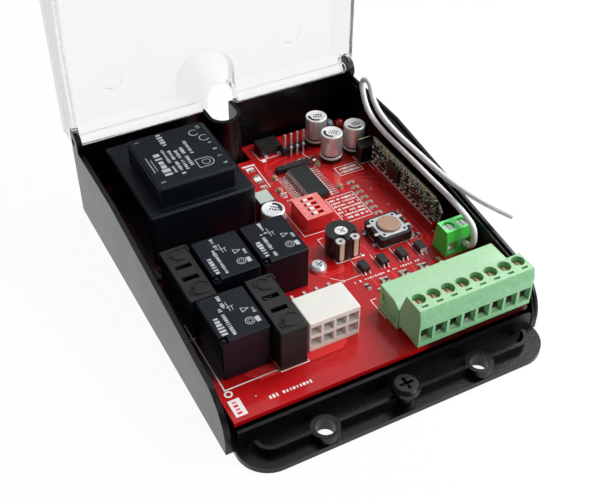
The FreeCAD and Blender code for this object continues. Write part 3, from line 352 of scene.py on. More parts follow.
def addStrip(work, points, width, low, high, closed=False, material=0):
    flat = [Vector(point) for point in points]
    count = len(flat)
    rows = []
    for index, here in enumerate(flat):
        first = second = None
        if index or closed:
            first = (here - flat[index - 1]).normalized()
        if index < count - 1 or closed:
            second = (flat[(index + 1) % count] - here).normalized()
        first = first or second
        second = second or first
        side = Vector((-(first + second).y, (first + second).x)).normalized()
        side *= width / 2 / max(0.4, side.dot(Vector((-first.y, first.x))))
        corners = ((here + side, low), (here - side, low), (here - side, high), (here + side, high))
        rows.append([work.verts.new((p.x * mm, p.y * mm, z * mm)) for p, z in corners])
    addRing(work, rows, closed, material)


def addPrism(work, outline, low, high):
    addRing(work, [[work.verts.new((x * mm, y * mm, z * mm)) for x, y in outline] for z in (low, high)],
        False)


def box2(x0, x1, y0, y1):
    return [(x0, y0), (x1, y0), (x1, y1), (x0, y1)]


def addLathe(work, profile, centre, segments, materials=None, turn=None):
    place = Matrix.Translation(Vector(centre) * mm) @ (turn or Matrix())
    angles = [2 * math.pi * k / segments for k in range(segments)]
    rows = []
    for radius, height in profile:
        wide, high = max(radius, 0) * mm, height * mm
        rows.append([work.verts.new(place @ Vector((wide * math.cos(a), wide * math.sin(a), high)))
            for a in (angles if wide else [0.0])])
    for index, (low, high) in enumerate(zip(rows, rows[1:])):
        for k in range(segments):
            after = (k + 1) % segments
            corners = (low[k % len(low)], low[after % len(low)], high[after % len(high)],
                high[k % len(high)])
            unique = list(dict.fromkeys(corners))
            if len(unique) > 2:
                work.faces.new(unique).material_index = materials[index] if materials else 0


def boardPlace(x, y, lift=0.0):
    return x + boardCorner.x, y + boardCorner.y, boardTop + lift


def onBoard(points):
    return [boardPlace(x, y)[:2] for x, y in points]


def arc(x, y, radius, start, end, steps=24):
    angles = [math.radians(start + (end - start) * k / steps) for k in range(steps + 1)]
    return [(x + radius * math.cos(a), y + radius * math.sin(a)) for a in angles]


def lay(x, y, z, turn=0.0):
    return Matrix.Translation(Vector((x, y, z)) * mm) @ Matrix.Rotation(math.radians(turn), 4, "Z")


def evaluated(piece, layers=False):
    bpy.context.view_layer.update()
    graph = bpy.context.evaluated_depsgraph_get()
    return bpy.data.meshes.new_from_object(piece.evaluated_get(graph), preserve_all_data_layers=layers,
        depsgraph=graph)


# Copies of the CAD solids with softened edges
def camel(node):
    words = node.split("_")
    return words[0] + "".join(word.capitalize() for word in words[1:])


def cleanMesh(mesh):
    work = bmesh.new()
    work.from_mesh(mesh)
    bmesh.ops.remove_doubles(work, verts=work.verts, dist=2e-6)
    bmesh.ops.dissolve_limit(work, angle_limit=math.radians(0.4), verts=work.verts, edges=work.edges)
    work.to_mesh(mesh)
    work.free()
    return mesh


def bake(piece):
    mesh = evaluated(piece, True)
    piece.modifiers.clear()
    piece.data = mesh
    return mesh


# Corner normals led by the larger faces keep flat panels flat between their rounded edges
def flattenNormals(mesh):
    sums = [Vector() for _ in mesh.vertices]
    for face in mesh.polygons:
        push = face.normal * (face.area * 1e6) ** 1.5
        for vertex in face.vertices:
            sums[vertex] += push
    mesh.normals_split_custom_set_from_vertices([each.normalized() for each in sums])


def softCopy(nodes, materials, width, segments=2, limit=33.0, name=None, choose=None):
    nodes = [nodes] if isinstance(nodes, str) else nodes
    meshes = [cleanMesh(frame["nodes"][node].data.copy()) for node in nodes]
    piece = newObject(name or camel(nodes[0]), meshes[0])
    helpers = [newObject("helper", mesh) for mesh in meshes[1:]]
    for helper in helpers:
        union = piece.modifiers.new("union", "BOOLEAN")
        union.operation = "UNION"
        union.solver = "EXACT"
        union.object = helper
    if helpers:
        cleanMesh(bake(piece))
        for helper in helpers:
            bpy.data.objects.remove(helper)
    piece.data.materials.clear()
    for material in materials if isinstance(materials, list) else [materials]:
        piece.data.materials.append(material)
    for face in piece.data.polygons:
        face.material_index = int(choose(face.center / mm, face.normal)) if choose else 0
    piece.data.shade_smooth()
    if width:
        bevel = piece.modifiers.new("soften", "BEVEL")
        bevel.width = width * mm
        bevel.segments = segments
        bevel.limit_method = "ANGLE"
        bevel.angle_limit = math.radians(limit)
        bevel.use_clamp_overlap = True
        flattenNormals(bake(piece))
    else:
        piece.data.set_sharp_from_angle(angle=math.radians(limit))
    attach(piece, bodyOf[nodes[0]])
    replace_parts(piece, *nodes)


def paintNode(node, material):
    target = frame["nodes"][node].data
    target.materials.clear()
    target.materials.append(material)


# Words and numerals are limited to ON and generic figures
def addWord(name, text, size, place, turn, material):
    curve = bpy.data.curves.new(name, "FONT")
    curve.body = text
    curve.size = size * mm
    curve.align_x = "CENTER"
    curve.align_y = "CENTER"
    curve.extrude = 0.012 * mm
    curve.resolution_u = 3
    holder = newObject(name, curve)
    mesh = evaluated(holder)
    bpy.data.objects.remove(holder)
    mesh.transform(lay(*place, turn))
    mesh.materials.clear()
    finishPiece(mesh, name, [material])


# Geometry node groups for things that repeat
def startNodes(name, *inputs):
    return newGroup(name, inputs, [("Geometry", "Geometry")], "GeometryNodeTree")


def endNodes(tree, result, geometry, material=None):
    made = nodeOut(tree, "GeometryNodeRealizeInstances", {"Geometry": geometry})
    if material is not None:
        made = nodeOut(tree, "GeometryNodeSetMaterial", {"Geometry": made, "Material": material})
    tree.links.new(made, result["Geometry"])
    return tree


def randomValue(tree, kind, low, high, seed):
    first, second, output = {"FLOAT_VECTOR": (0, 1, 0), "FLOAT": (2, 3, 1)}[kind]
    node = addNode(tree, "FunctionNodeRandomValue", {first: low, second: high, "Seed": seed},
        data_type=kind)
    return node.outputs[output]


def randomPick(tree, seed, share):
    chance = randomValue(tree, "FLOAT", 0.0, 1.0, seed)
    return nodeOut(tree, "FunctionNodeCompare", {0: chance, 1: share}, data_type="FLOAT",
        operation="LESS_THAN")


def meshGrid(tree, across, along, columns, rows):
    return nodeOut(tree, "GeometryNodeMeshGrid", {"Size X": across, "Size Y": along, "Vertices X": columns,
        "Vertices Y": rows})


def makePrintRows():
    tree, given, result = startNodes("printRows", ("Rows", "Int", 3), ("Marks", "Int", 12),
        ("Row Pitch", "Float", 0.001), ("Mark Pitch", "Float", 0.0004),
        ("Mark Size", "Vector", (0.0003, 0.0006, 0.00003)), ("Keep", "Float", 0.8), ("Seed", "Int", 1),
        ("Material", "Material", None))
    across = calc(tree, calc(tree, given["Marks"], 1.0, "SUBTRACT"), given["Mark Pitch"])
    along = calc(tree, calc(tree, given["Rows"], 1.0, "SUBTRACT"), given["Row Pitch"])
    grid = meshGrid(tree, across, along, given["Marks"], given["Rows"])
    mark = nodeOut(tree, "GeometryNodeMeshCube", {"Size": given["Mark Size"]})
    keep = randomPick(tree, given["Seed"], given["Keep"])
    scale = randomValue(tree, "FLOAT_VECTOR", (0.45, 0.55, 1.0), (1.15, 1.0, 1.0), given["Seed"])
    placed = nodeOut(tree, "GeometryNodeInstanceOnPoints",
        {"Points": grid, "Instance": mark, "Selection": keep, "Scale": scale})
    return endNodes(tree, result, placed, given["Material"])


# A chip is a body, two end caps and two solder fillets: share of length, shift, width, height
chipShapes = ((0.62, 0.0, 0.96, 0.96, "Body"), (0.21, 0.4, 1.0, 1.0, "Cap"), (0.21, -0.4, 1.0, 1.0, "Cap"),
    (0.34, 0.60, 1.15, 0.3, "Solder"), (0.34, -0.60, 1.15, 0.3, "Solder"))


def makeChipRow():
    tree, given, result = startNodes("chipRow", ("Count", "Int", 4), ("Step", "Vector", (0.003, 0.0, 0.0)),
        ("Size", "Vector", (0.002, 0.00125, 0.0005)), ("Seed", "Int", 1), ("Body", "Material", None),
        ("Cap", "Material", None), ("Solder", "Material", None))
    line = nodeOut(tree, "GeometryNodeMeshLine", {"Count": given["Count"], "Offset": given["Step"]})
    size = split(tree, given["Size"])
    join = tree.nodes.new("GeometryNodeJoinGeometry")
    for share, shift, wide, tall, label in chipShapes:
        dims = nodeOut(tree, "ShaderNodeCombineXYZ",
            {0: calc(tree, size[0], share), 1: calc(tree, size[1], wide), 2: calc(tree, size[2], tall)})
        cube = nodeOut(tree, "GeometryNodeMeshCube", {"Size": dims})
        place = nodeOut(tree, "ShaderNodeCombineXYZ",
            {0: calc(tree, size[0], shift), 2: calc(tree, size[2], tall / 2)})
        moved = nodeOut(tree, "GeometryNodeTransform", {"Geometry": cube, "Translation": place})
        part = nodeOut(tree, "GeometryNodeSetMaterial", {"Geometry": moved, "Material": given[label]})
        tree.links.new(part, join.inputs[0])
    turn = randomValue(tree, "FLOAT_VECTOR", (0, 0, -0.04), (0, 0, 0.04), given["Seed"])
    placed = nodeOut(tree, "GeometryNodeInstanceOnPoints",
        {"Points": line, "Instance": join.outputs[0], "Rotation": turn})
    return endNodes(tree, result, placed)


def makePadField():
    tree, given, result = startNodes("padField", ("Size X", "Float", 0.03), ("Size Y", "Float", 0.03),
        ("Columns", "Int", 6), ("Rows", "Int", 6), ("Radius", "Float", 0.0004), ("Rim", "Float", 0.00015),
        ("Jitter", "Float", 0.001), ("Keep", "Float", 0.5), ("Seed", "Int", 1),
        ("Material", "Material", None))
    grid = meshGrid(tree, given["Size X"], given["Size Y"], given["Columns"], given["Rows"])
    drift = randomValue(tree, "FLOAT_VECTOR", (-1, -1, 0), (1, 1, 0), given["Seed"])
    spread = nodeOut(tree, "ShaderNodeVectorMath", {0: drift, "Scale": given["Jitter"]}, operation="SCALE")
    points = nodeOut(tree, "GeometryNodeSetPosition", {"Geometry": grid, "Offset": spread})
    circle = nodeOut(tree, "GeometryNodeCurvePrimitiveCircle",
        {"Resolution": 16, "Radius": given["Radius"]})
    rim = nodeOut(tree, "GeometryNodeCurvePrimitiveQuadrilateral",
        {"Width": given["Rim"], "Height": 0.04 * mm})
    ring = nodeOut(tree, "GeometryNodeCurveToMesh", {"Curve": circle, "Profile Curve": rim})
    keep = randomPick(tree, calc(tree, given["Seed"], 7.0, "ADD"), given["Keep"])
    scale = randomValue(tree, "FLOAT", 0.7, 1.2, given["Seed"])
    placed = nodeOut(tree, "GeometryNodeInstanceOnPoints",
        {"Points": points, "Instance": ring, "Selection": keep, "Scale": scale})
    return endNodes(tree, result, placed, given["Material"])


growth = {"printRows": makePrintRows(), "chipRow": makeChipRow(), "padField": makePadField()}


def grow(name, kind, values, place):
    holder = newObject(name, bpy.data.meshes.new(name))
    modifier = holder.modifiers.new("grow", "NODES")
    modifier.node_group = growth[kind]
    for item in growth[kind].interface.items_tree:
        if item.in_out == "INPUT" and item.name in values:
            modifier[item.identifier] = values[item.name]
    mesh = bake(holder)
    bpy.data.objects.remove(holder)
    mesh.transform(place)
    return finishPiece(mesh, name, [])


def growPrint(name, rows, marks, pitches, size, keep, seed, material, place):
    grow(name, "printRows", {"Rows": rows, "Marks": marks, "Row Pitch": pitches[0] * mm,
        "Mark Pitch": pitches[1] * mm, "Mark Size": tuple(part * mm for part in size), "Keep": keep,
        "Seed": seed, "Material": material}, place)


# Aerial wire: the loose quarter wave wire from the two pole terminal
wireLook = dict(diameter=2, colour=(0.93, 0.93, 0.91), deep=(0.86, 0.86, 0.84), roughness=0.38, grain=900,
    height=0.05, mottle=260, edge=0, dust=0.01, coat=0.1)
wirePoints = [(98, 32, 3.2), (98, 26.2, 3.2), (97.4, 25.9, 12.9), (97.5, 32.6, 14.4), (99.3, 43.2, 12.9),
    (99.8, 56.4, 12.4), (99.6, 69.6, 12.9), (99.9, 82, 12.5), (100, 91.2, 13.1), (99.8, 97.4, 15.6),
    (100.1, 101.4, 20), (100, 102.8, 25.4), (100.3, 97.7, 27.6), (100.2, 95.1, 21.6), (100.4, 89.2, 17.7),
    (100.2, 77, 16.7), (100.4, 63.6, 16.9), (100.3, 51.4, 17.3), (100.8, 41.6, 17.9), (103.4, 32.8, 17.3),
    (107.2, 27.2, 15.9), (110.4, 24.2, 14.3)]


def makeWire(look, points, material, copper):
    curve = bpy.data.curves.new("wireLine", "CURVE")
    curve.dimensions = "3D"
    curve.resolution_u = 12
    spline = curve.splines.new("NURBS")
    spline.points.add(len(points) - 1)
    for knot, point in zip(spline.points, points):
        knot.co = (*((boardCorner + Vector(point)) * mm), 1.0)
    spline.order_u = 3
    spline.use_endpoint_u = True
    holder = newObject("wireLine", curve)
    path = [vertex.co.copy() for vertex in evaluated(holder).vertices]
    curve.bevel_depth = look["diameter"] * mm / 2
    curve.bevel_resolution = 6
    curve.use_fill_caps = True
    tube = evaluated(holder)
    bpy.data.objects.remove(holder)
    work = bmesh.new()
    work.from_mesh(tube)
    bmesh.ops.remove_doubles(work, verts=work.verts, dist=1e-7)
    wire = finishMesh(work, "aerialWire", [material])
    aim = (path[-1] - path[-2]).normalized().to_track_quat("Z", "Y").to_matrix().to_4x4()
    work = bmesh.new()
    strand = [(0, 0), (0.17, 0), (0.17, 0.44), (0.13, 0.5), (0, 0.5)]
    for radius, turn in [(0.0, 0)] + [(0.36, turn) for turn in range(0, 360, 60)]:
        angle = math.radians(turn)
        offset = aim.to_3x3() @ Vector((radius * math.cos(angle), radius * math.sin(angle), -0.3))
        addLathe(work, strand, path[-1] / mm + offset, 10, None, aim)
    return wire, finishMesh(work, "wireCore", [copper]), path


copperLook = dict(colour=(0.62, 0.25, 0.1), deep=(0.42, 0.14, 0.05), roughness=0.34)
copper = metal("copper", copperLook)
aerialWire, wireCore, wirePath = makeWire(wireLook, wirePoints, plastic("wireWhite", wireLook), copper)
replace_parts(aerialWire, "aerial_wire")
print("wire laid")


# Tray: black moulded ABS with a fine spark eroded grain
trayLook = dict(colour=(0.0015, 0.0015, 0.0017), deep=(0.0009, 0.0009, 0.001), roughness=0.28, grain=1300,
    height=0.26, edge=0.06, dust=0.004, scratch=0.05, specular=0.32)
trayNodes = ["base_tray", "tray_side_walls", "tray_back_wall"]
softCopy(trayNodes, plastic("trayPlastic", trayLook), 0.35, name="tray")
postLook = dict(trayLook, colour=(0.003, 0.003, 0.0034), deep=(0.002, 0.002, 0.0024), roughness=0.34)
softCopy("lid_screw", plastic("postPlastic", postLook), 0.15)

# Lid: clear moulded polycarbonate with painted grey shade on its edge-on faces, its well a little greyer as
# painted shade
lidLook = dict(colour=(0.99, 0.991, 0.988), deep=(0.36, 0.37, 0.37), rim=0.9, roughness=0.03, spread=0.03,
    grain=160, height=0.004, dust=0.03, scratch=0.05, transmission=0.92, ior=1.11)
wellShadeLook = dict(lidLook, colour=(0.97, 0.975, 0.97), transmission=0.9)
wellReach, wellHeight, panelFacing = 12.0, 50.0, 0.95
softCopy("lid", [clear("lidClear", lidLook), clear("lidWell", wellShadeLook)], 0.3,
    choose=lambda c, n: abs(c.x) < wellReach and c.z < wellHeight and abs(n.y) < panelFacing)

# Tinned metal and screws
tinLook = dict(colour=(0.8, 0.79, 0.76), deep=(0.62, 0.61, 0.58), roughness=0.24)
tin = metal("tinned", tinLook)
brightLook = dict(colour=(0.86, 0.87, 0.88), deep=(0.72, 0.73, 0.74), roughness=0.28, metallic=0.65)
bright = metal("brightTin", brightLook)
for node in ("power_pins", "terminal_pins", "aerial_cages", "plug_cages", "fuse_clips"):
    softCopy(node, tin, 0.08)
# Painted shade: the board screw by the left wall takes a near black copy of the tinned metal
shadedScrewLook = dict(brightLook, colour=(0.05, 0.05, 0.05), deep=(0.03, 0.03, 0.03))
shadedScrewSide = -45.0
softCopy("board_screws", [bright, metal("paintedShadeSteel", shadedScrewLook)], 0.12,
    choose=lambda c, n: c.x < shadedScrewSide)


# Circuit board: red solder mask, with copper tracks under it and white print on it
# Boxes beside the left wall, between the transformer and relays, and in front under the plug are painted
# shadow
boardLook = dict(colour=(0.54, 0.003, 0.005), deep=(0.45, 0.002, 0.0035), roughness=0.34, grain=1200,
    height=0.05, edge=0, dust=0.004, scratch=0.02, coat=0.6, coatRoughness=0.1, mottle=60, specular=0.25,
    paintedShadeColour=(0.02, 0.001, 0.001), dim=[(-60, -43.5, -37, 70), (-48.5, -20, 3.5, 18),
    (13, 60, -60, -50.5)])
boardRed = plastic("boardRed", boardLook)
softCopy("circuit_board", boardRed, 0.0)
traceLook = dict(boardLook, colour=(0.86, 0.040, 0.038), deep=(0.78, 0.026, 0.026))
traceRed = plastic("traceRed", traceLook)
silkLook = dict(colour=(0.93, 0.92, 0.9), deep=(0.86, 0.84, 0.82), roughness=0.55, grain=3000, edge=0,
    mottle=900)
silkWhite = plastic("silkWhite", silkLook)
solderLook = dict(colour=(0.86, 0.85, 0.82), deep=(0.66, 0.64, 0.6), roughness=0.18, mottle=700)
solder = metal("solder", solderLook)

silkLines = [([(2.7, 41.5), (2.6, 12), (19.7, 12.1)], 0.42), ([(1.9, 34.7), (3.6, 34.7)], 0.26),
    ([(1.9, 35.8), (3.6, 35.8)], 0.26), ([(20.3, 15.5), (20.3, 10.9), (29.3, 10.9), (29.3, 14.3)], 0.3),
    ([(20.8, 17.3), (20.8, 12.3)], 0.26), ([(54.3, 76), (54.5, 60.8), (62.4, 60.5)], 0.3),
    ([(57.6, 57.5), (57.6, 44), (66, 43.7)], 0.26), ([(57.6, 57.5), (59.6, 57.5)], 0.26),
    ([(52, 39.1), (55.3, 35.9), (62.7, 35.9)], 0.18), ([(60, 113), (60.2, 106.3), (70.4, 106.3)], 0.26),
    ([(52.4, 105.3), (57.3, 105.1)], 0.9), ([(57, 105.1), (56.5, 90.4)], 0.26),
    ([(94.6, 86.3), (94.4, 42.6)], 0.26), ([(94.4, 42.6), (96.4, 41.2)], 0.26),
    ([(91.6, 93), (92.5, 87.5), (96.6, 87.4)], 0.26), ([(73.9, 55.5), (73.9, 43.5), (86.8, 43.5)], 0.22),
    ([(79.2, 96.4), (76.3, 101.2), (76.2, 104.2)], 0.26),
    ([(58.4, 15.3), (58.4, 24.4), (60.4, 24.4)], 0.26)]
silkLines += [([(x, 43), (x, 35)], 0.2) for x in (62.2, 69.2, 76.4, 83.6)]
silkPatches = [(1.5, 5.1, 1.6, 8), (33, 34, 26.2, 28.2), (37.2, 38.2, 26.2, 28.2), (41.4, 42.4, 26.2, 28.2),
    (45.4, 46.2, 26.2, 28.2), (53, 56, 101.4, 104), (53.2, 55.8, 95.6, 98.6), (60.6, 62.2, 104.8, 106.6),
    (53.4, 55.6, 90.6, 92.4)]
silkFrames = [(70.2, 81, 60.8, 74.9, 0.24), (82, 91.3, 84.6, 89.6, 0.24)]
silkRings = [(3, 10.3, 1, 0.55), (55.3, 35.9, 0.45, 0.18), (94.5, 108, 3.4, 0.25)]


def markBoard(name, material, strips, slabs):
    work = bmesh.new()
    for points, width, rise, closed in strips:
        addStrip(work, onBoard(points), width, boardTop - sunk, boardTop + rise, closed)
    for outline, rise in slabs:
        addPrism(work, onBoard(outline), boardTop - sunk, boardTop + rise)
    finishMesh(work, name, [material])


silkRise, trackRise = 0.03, 0.018
silkStrips = [(points, width, silkRise, False) for points, width in silkLines]
silkStrips += [(box2(*sides), width, silkRise, True) for *sides, width in silkFrames]
silkStrips += [(arc(*ring, 0, 352.5, 47), width, silkRise, True) for *ring, width in silkRings]
markBoard("silkPrint", silkWhite, silkStrips, [(box2(*sides), 0.02) for sides in silkPatches])
rowPlaces = [(75.6, 68.0, 7, 16, 1.75, 0.62, 0.50, 1.15, 0.86, 3),
    (86.6, 87.1, 2, 12, 1.9, 0.66, 0.55, 1.3, 0.8, 5), (19.6, 3.9, 1, 13, 1.0, 1.08, 0.75, 1.35, 0.9, 11),
    (66.2, 68.0, 4, 4, 2.54, 0.7, 0.5, 1.0, 0.8, 2), (59.0, 80.5, 5, 3, 2.3, 0.8, 0.55, 0.8, 0.7, 21),
    (70.0, 33.4, 1, 26, 1.0, 0.95, 0.6, 0.9, 0.55, 23), (87.0, 49.0, 5, 3, 2.6, 0.9, 0.6, 0.8, 0.6, 29)]
for number, (x, y, rows, marks, rowPitch, markPitch, wide, tall, keep, seed) in enumerate(rowPlaces, 1):
    growPrint(f"silkMarks{number}", rows, marks, (rowPitch, markPitch), (wide, tall, 0.04), keep, seed,
        silkWhite, lay(*boardPlace(x, y, inkLift)))
growPrint("silkBars", 1, 4, (1.0, 1.35), (0.9, 2.0, 0.04), 1.0, 9, traceRed,
    lay(*boardPlace(3.1, 4.8, silkRise), 90))

traceLines = [[(75.6, 93), (79.5, 93), (82, 90.8), (92.8, 90.8)],
    [(75.6, 91.7), (78.6, 91.7), (81.2, 83.2), (93.4, 82.2)],
    [(75.6, 90.4), (77.8, 90.4), (80.2, 82.2), (88, 81.2), (93.4, 78)],
    [(75.6, 89.1), (77.2, 89.1), (79.6, 81), (86, 80), (93.4, 74)],
    [(75.6, 86.6), (76.6, 86.6), (78.9, 80), (82, 79.4)], [(75.6, 85.3), (76.4, 85.3), (77.2, 80.2)],
    [(75.6, 80.2), (77.6, 78.2), (79.8, 76.2), (82, 76.2)], [(75.6, 79), (77, 77.4), (80.4, 75.8)],
    [(62.6, 93), (60.2, 95.2), (60.2, 101.6), (66, 103.6), (70, 103.8)],
    [(62.6, 91.7), (59.2, 94.2), (59.2, 101), (62, 104.4)],
    [(62.6, 86.6), (60.6, 84.6), (60.6, 79), (57.2, 76)], [(62.6, 84), (61.6, 82.4), (61.6, 77)],
    [(67.8, 60.2), (67.8, 56.4), (70.6, 53.4), (72.6, 53.4)], [(69, 60.2), (69, 57.2), (72.4, 56)],
    [(66.4, 60.2), (66.4, 55.6), (69.6, 47.6), (69.6, 44)], [(88.4, 60), (88.4, 44.6), (86.4, 42)],
    [(90, 60), (90, 43.4), (88.6, 42)], [(91.6, 70), (91.6, 42), (90.2, 40.6)],
    [(50.6, 59), (50.6, 44), (53, 41.4), (59, 41.4)], [(49.2, 59), (49.2, 42.6), (51.4, 40.4), (59, 40.2)],
    [(46.4, 97), (46.4, 84), (51.4, 80.6), (51.4, 62)]]
traceLines += [[(x, 33), (x, 29)] for x in (64, 71.2, 78.4, 85.6, 92)]
pour = [(10.1, 14.6), (13.9, 10.9), (40.6, 10.9), (43.8, 13.4), (43.8, 15), (33, 15), (12, 15.6)]
traceStrips = [(points, 0.42, trackRise, False) for points in traceLines]
markBoard("copperTraces", traceRed, traceStrips, [(pour, 0.014)])
grow("boardVias", "padField", {"Size X": 0.040, "Size Y": 0.060, "Columns": 9, "Rows": 13,
    "Radius": 0.00042, "Rim": 0.00022, "Jitter": 0.0016, "Keep": 0.34, "Seed": 4, "Material": solder},
    lay(22.0, 14.0, boardTop + 0.01))
padPlaces = [(71.3, 99.8, 0.9, 0.3), (66.9, 44.2, 0.8, 0.4), (73.8, 100.6, 0.8, 0.3),
    (9.6, 6.4, 0.35, 0.12), (53.6, 35.6, 0.5, 0.2), (96.6, 87.4, 0.5, 0.2), (51.0, 29.9, 0.6, 0.3)]


def makePads():
    work = bmesh.new()
    for x, y, radius, hole in padPlaces:
        profile = [(hole, -0.02), (radius, -0.02), (radius, 0.02), (radius * 0.8, 0.10),
            (hole + 0.05, 0.12), (hole, 0.06), (hole, -0.02)]
        addLathe(work, profile, boardPlace(x, y), 28)
    finishMesh(work, "solderPads", [solder])


makePads()
leadPads = [(box2(x0, x1, 76.36 + 1.27 * step, 77.04 + 1.27 * step), 0.06) for step in range(14)
    for x0, x1 in ((60.5, 63.4), (74.1, 76.6))]
markBoard("leadPads", solder, [], leadPads)

# Small parts: ceramic and film bodies with tinned ends
ceramicLook = dict(colour=(0.42, 0.28, 0.17), deep=(0.32, 0.21, 0.12), roughness=0.45, grain=2200)
ceramicTan = plastic("ceramicTan", ceramicLook)
chipLook = dict(colour=(0.005, 0.005, 0.0055), deep=(0.0034, 0.0034, 0.0038), roughness=0.4, grain=2600,
    edge=0.12, dust=0.008, scratch=0.03)
chipBlack = plastic("chipBlack", chipLook)


def makeBeads():
    work = bmesh.new()
    for x, y in ((77.7, 94.4), (78.4, 79.0), (59.9, 94.0), (58.3, 86.8)):
        profile = [(0, -0.02), (1.25, -0.02), (1.25, 0.12), (1.0, 0.16), (1.05, 0.7), (0.9, 1.15),
            (0.5, 1.35), (0, 1.4)]
        addLathe(work, profile, boardPlace(x, y), 24, [1, 1, 1, 0, 0, 0, 0])
    finishMesh(work, "roundBeads", [ceramicTan, solder])


# A five pole strip behind the chip and three short posts before the header
def makeStrip():
    work = bmesh.new()
    outline = [(62.2, 95.2), (75.2, 95.2), (75.2, 97.8)]
    for step in range(5):
        x = 75.2 - 2.6 * step
        outline += [(x - 0.9, 97.8), (x - 0.9, 97.2), (x - 1.7, 97.2), (x - 1.7, 97.8)]
    outline.append((62.2, 97.8))
    addPrism(work, onBoard(outline), boardTop - sunk, boardTop + 2.0)
    for step in range(3):
        post = [(0, -0.02), (0.32, -0.02), (0.32, 3.4), (0.55, 3.6), (0.55, 4.2), (0.3, 4.5), (0, 4.5)]
        addLathe(work, post, boardPlace(71.6 + 2.54 * step, 103.6), 16, [1] * 6)
    finishMesh(work, "stripAndPosts", [chipBlack, bright])


makeBeads()
makeStrip()
chip, smallChip = (2.0, 1.2, 0.5), (1.7, 1.1, 0.45)
chipRows = [("chipRowA", 83.0, 60.4, 3.2, 7, ceramicTan, 1, chip),
    ("chipRowB", 60.8, 30.0, -7.2, 4, chipBlack, 2, chip),
    ("chipRowC", 66.4, 30.2, -7.2, 4, ceramicTan, 3, chip),
    ("chipRowD", 63.6, 26.4, -4.1, 7, ceramicTan, 4, chip),
    ("chipRowE", 71.5, 98.6, -3.3, 3, chipBlack, 5, chip),
    ("chipRowF", 88.0, 44.5, 4.4, 4, chipBlack, 6, chip),
    ("chipExtra1", 54.6, 91.0, 3.6, 4, ceramicTan, 8, smallChip),
    ("chipExtra2", 58.4, 84.0, 3.4, 2, ceramicTan, 9, smallChip)]


def growChips(name, x, y, gap, count, material, seed, size):
    values = {"Count": count, "Step": (0, gap * mm, 0), "Size": tuple(part * mm for part in size),
        "Seed": seed, "Body": material, "Cap": tin, "Solder": solder}
    return grow(name, "chipRow", values, lay(*boardPlace(x, y), 90 if gap < 0 else 0))


chipPieces = [growChips(*row) for row in chipRows]
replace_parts(chipPieces[0], "chip_parts")
print("board dressed")


# Transformer and relays: dark filled plastic with white print
caseLook = dict(colour=(0.0025, 0.005, 0.01), deep=(0.0015, 0.0032, 0.0068), roughness=0.34, grain=1500,
    edge=0.08, dust=0.006, scratch=0.05, specular=0.28)
casePlastic = plastic("casePlastic", caseLook)
printLook = dict(colour=(0.62, 0.64, 0.66), deep=(0.45, 0.47, 0.49), roughness=0.5, grain=3000, edge=0,
    dust=0, mottle=1500)
printWhite = plastic("printWhite", printLook)
softCopy("transformer_case", casePlastic, 0.3)
softCopy("relay_cases", casePlastic, 0.2)
coreLook = dict(colour=(0.3, 0.3, 0.31), deep=(0.18, 0.18, 0.19), roughness=0.5)
for node, material in (("transformer_base", casePlastic), ("relay_bases", casePlastic),
        ("transformer_core", metal("coreSteel", coreLook)), ("transformer_winding", copper),
        ("relay_coils", copper)):
    paintNode(node, material)
relayCorners = [(-46.2, -38.5), (-37.5, -14.5), (-20.9, -14.4)]
relayTop, crownTop = 25.4, 37.6


def growCasePrint(name, x, y, top, marks, pitch, size, keep, seed):
    growPrint(name, 1, marks, (1.0, pitch), (*size, 0.035), keep, seed, printWhite,
        lay(x, y, top + inkLift, 90))


def makeRelayMarks(name, x, y):
    work = bmesh.new()
    low, high = relayTop - sunk, relayTop + 0.025
    triangle = [(x + 10.5, y + 8.6), (x + 12.6, y + 9.5), (x + 10.5, y + 10.4)]
    addStrip(work, triangle, 0.22, low, high, True)
    for x0, y0, x1, y1 in ((7.6, 10.6, 7.6, 14.8), (6.9, 12.2, 9.2, 12.6), (8.6, 10.8, 8.6, 12.4)):
        addStrip(work, [(x + x0, y + y0), (x + x1, y + y1)], 0.2, low, high)
    addStrip(work, arc(x + 10.9, y + 4.6, 1.35, 0, 352.5, 47), 0.2, low, high, True)
    addStrip(work, arc(x + 10.9, y + 4.6, 0.7, 0, 345, 23), 0.16, low, high, True)
    addPrism(work, box2(x + 12.6, x + 13.9, y + 3.2, y + 5.4), low, high)
    addStrip(work, arc(x + 7.6, y + 8.2, 1.9, 20, 200, 24), 0.16, low, high - 0.015, False, 1)
    finishMesh(work, name, [printWhite, casePlastic])


relayRows = ((2.3, 6.2, 6, 1.3, (0.95, 2.1), 1.0), (4.9, 7.2, 14, 0.82, (0.62, 1.3), 0.9),
    (6.4, 15.2, 7, 0.8, (0.6, 1.2), 0.85), (13.7, 8.2, 3, 0.8, (0.6, 1.2), 1.0))
for number, (x, y) in enumerate(relayCorners, 1):
    makeRelayMarks(f"relayMarks{number}", x, y)
    for part, (dx, dy, *row) in enumerate(relayRows, 1):
        growCasePrint(f"relayRows{number}{part}", x + dx, y + dy, relayTop, *row, 10 * number + part)


def makeTransformerMarks():
    work = bmesh.new()
    low, high = crownTop - sunk, crownTop + 0.025
    for x, y, radius in ((-19.0, 42.6, 1.5), (-16.9, 38.6, 1.6)):
        addStrip(work, arc(x, y, radius, 40, 320, 30), 0.26, low, high)
    oval = arc(-21.4, 26.0, 2.3, -90, 90, 20) + [(-24.6, 28.3), (-24.6, 23.7)]
    addStrip(work, oval, 0.24, low, high, True)
    addStrip(work, arc(-21.6, 26.0, 1.3, 0, 345, 23), 0.2, low, high, True)
    addStrip(work, [(-38.4, 27.6), (-38.4, 36.4)], 0.26, low, high)
    addStrip(work, [(-37.3, 28.2), (-37.3, 34.6)], 0.2, low, high)
    finishMesh(work, "transformerMarks", [printWhite])


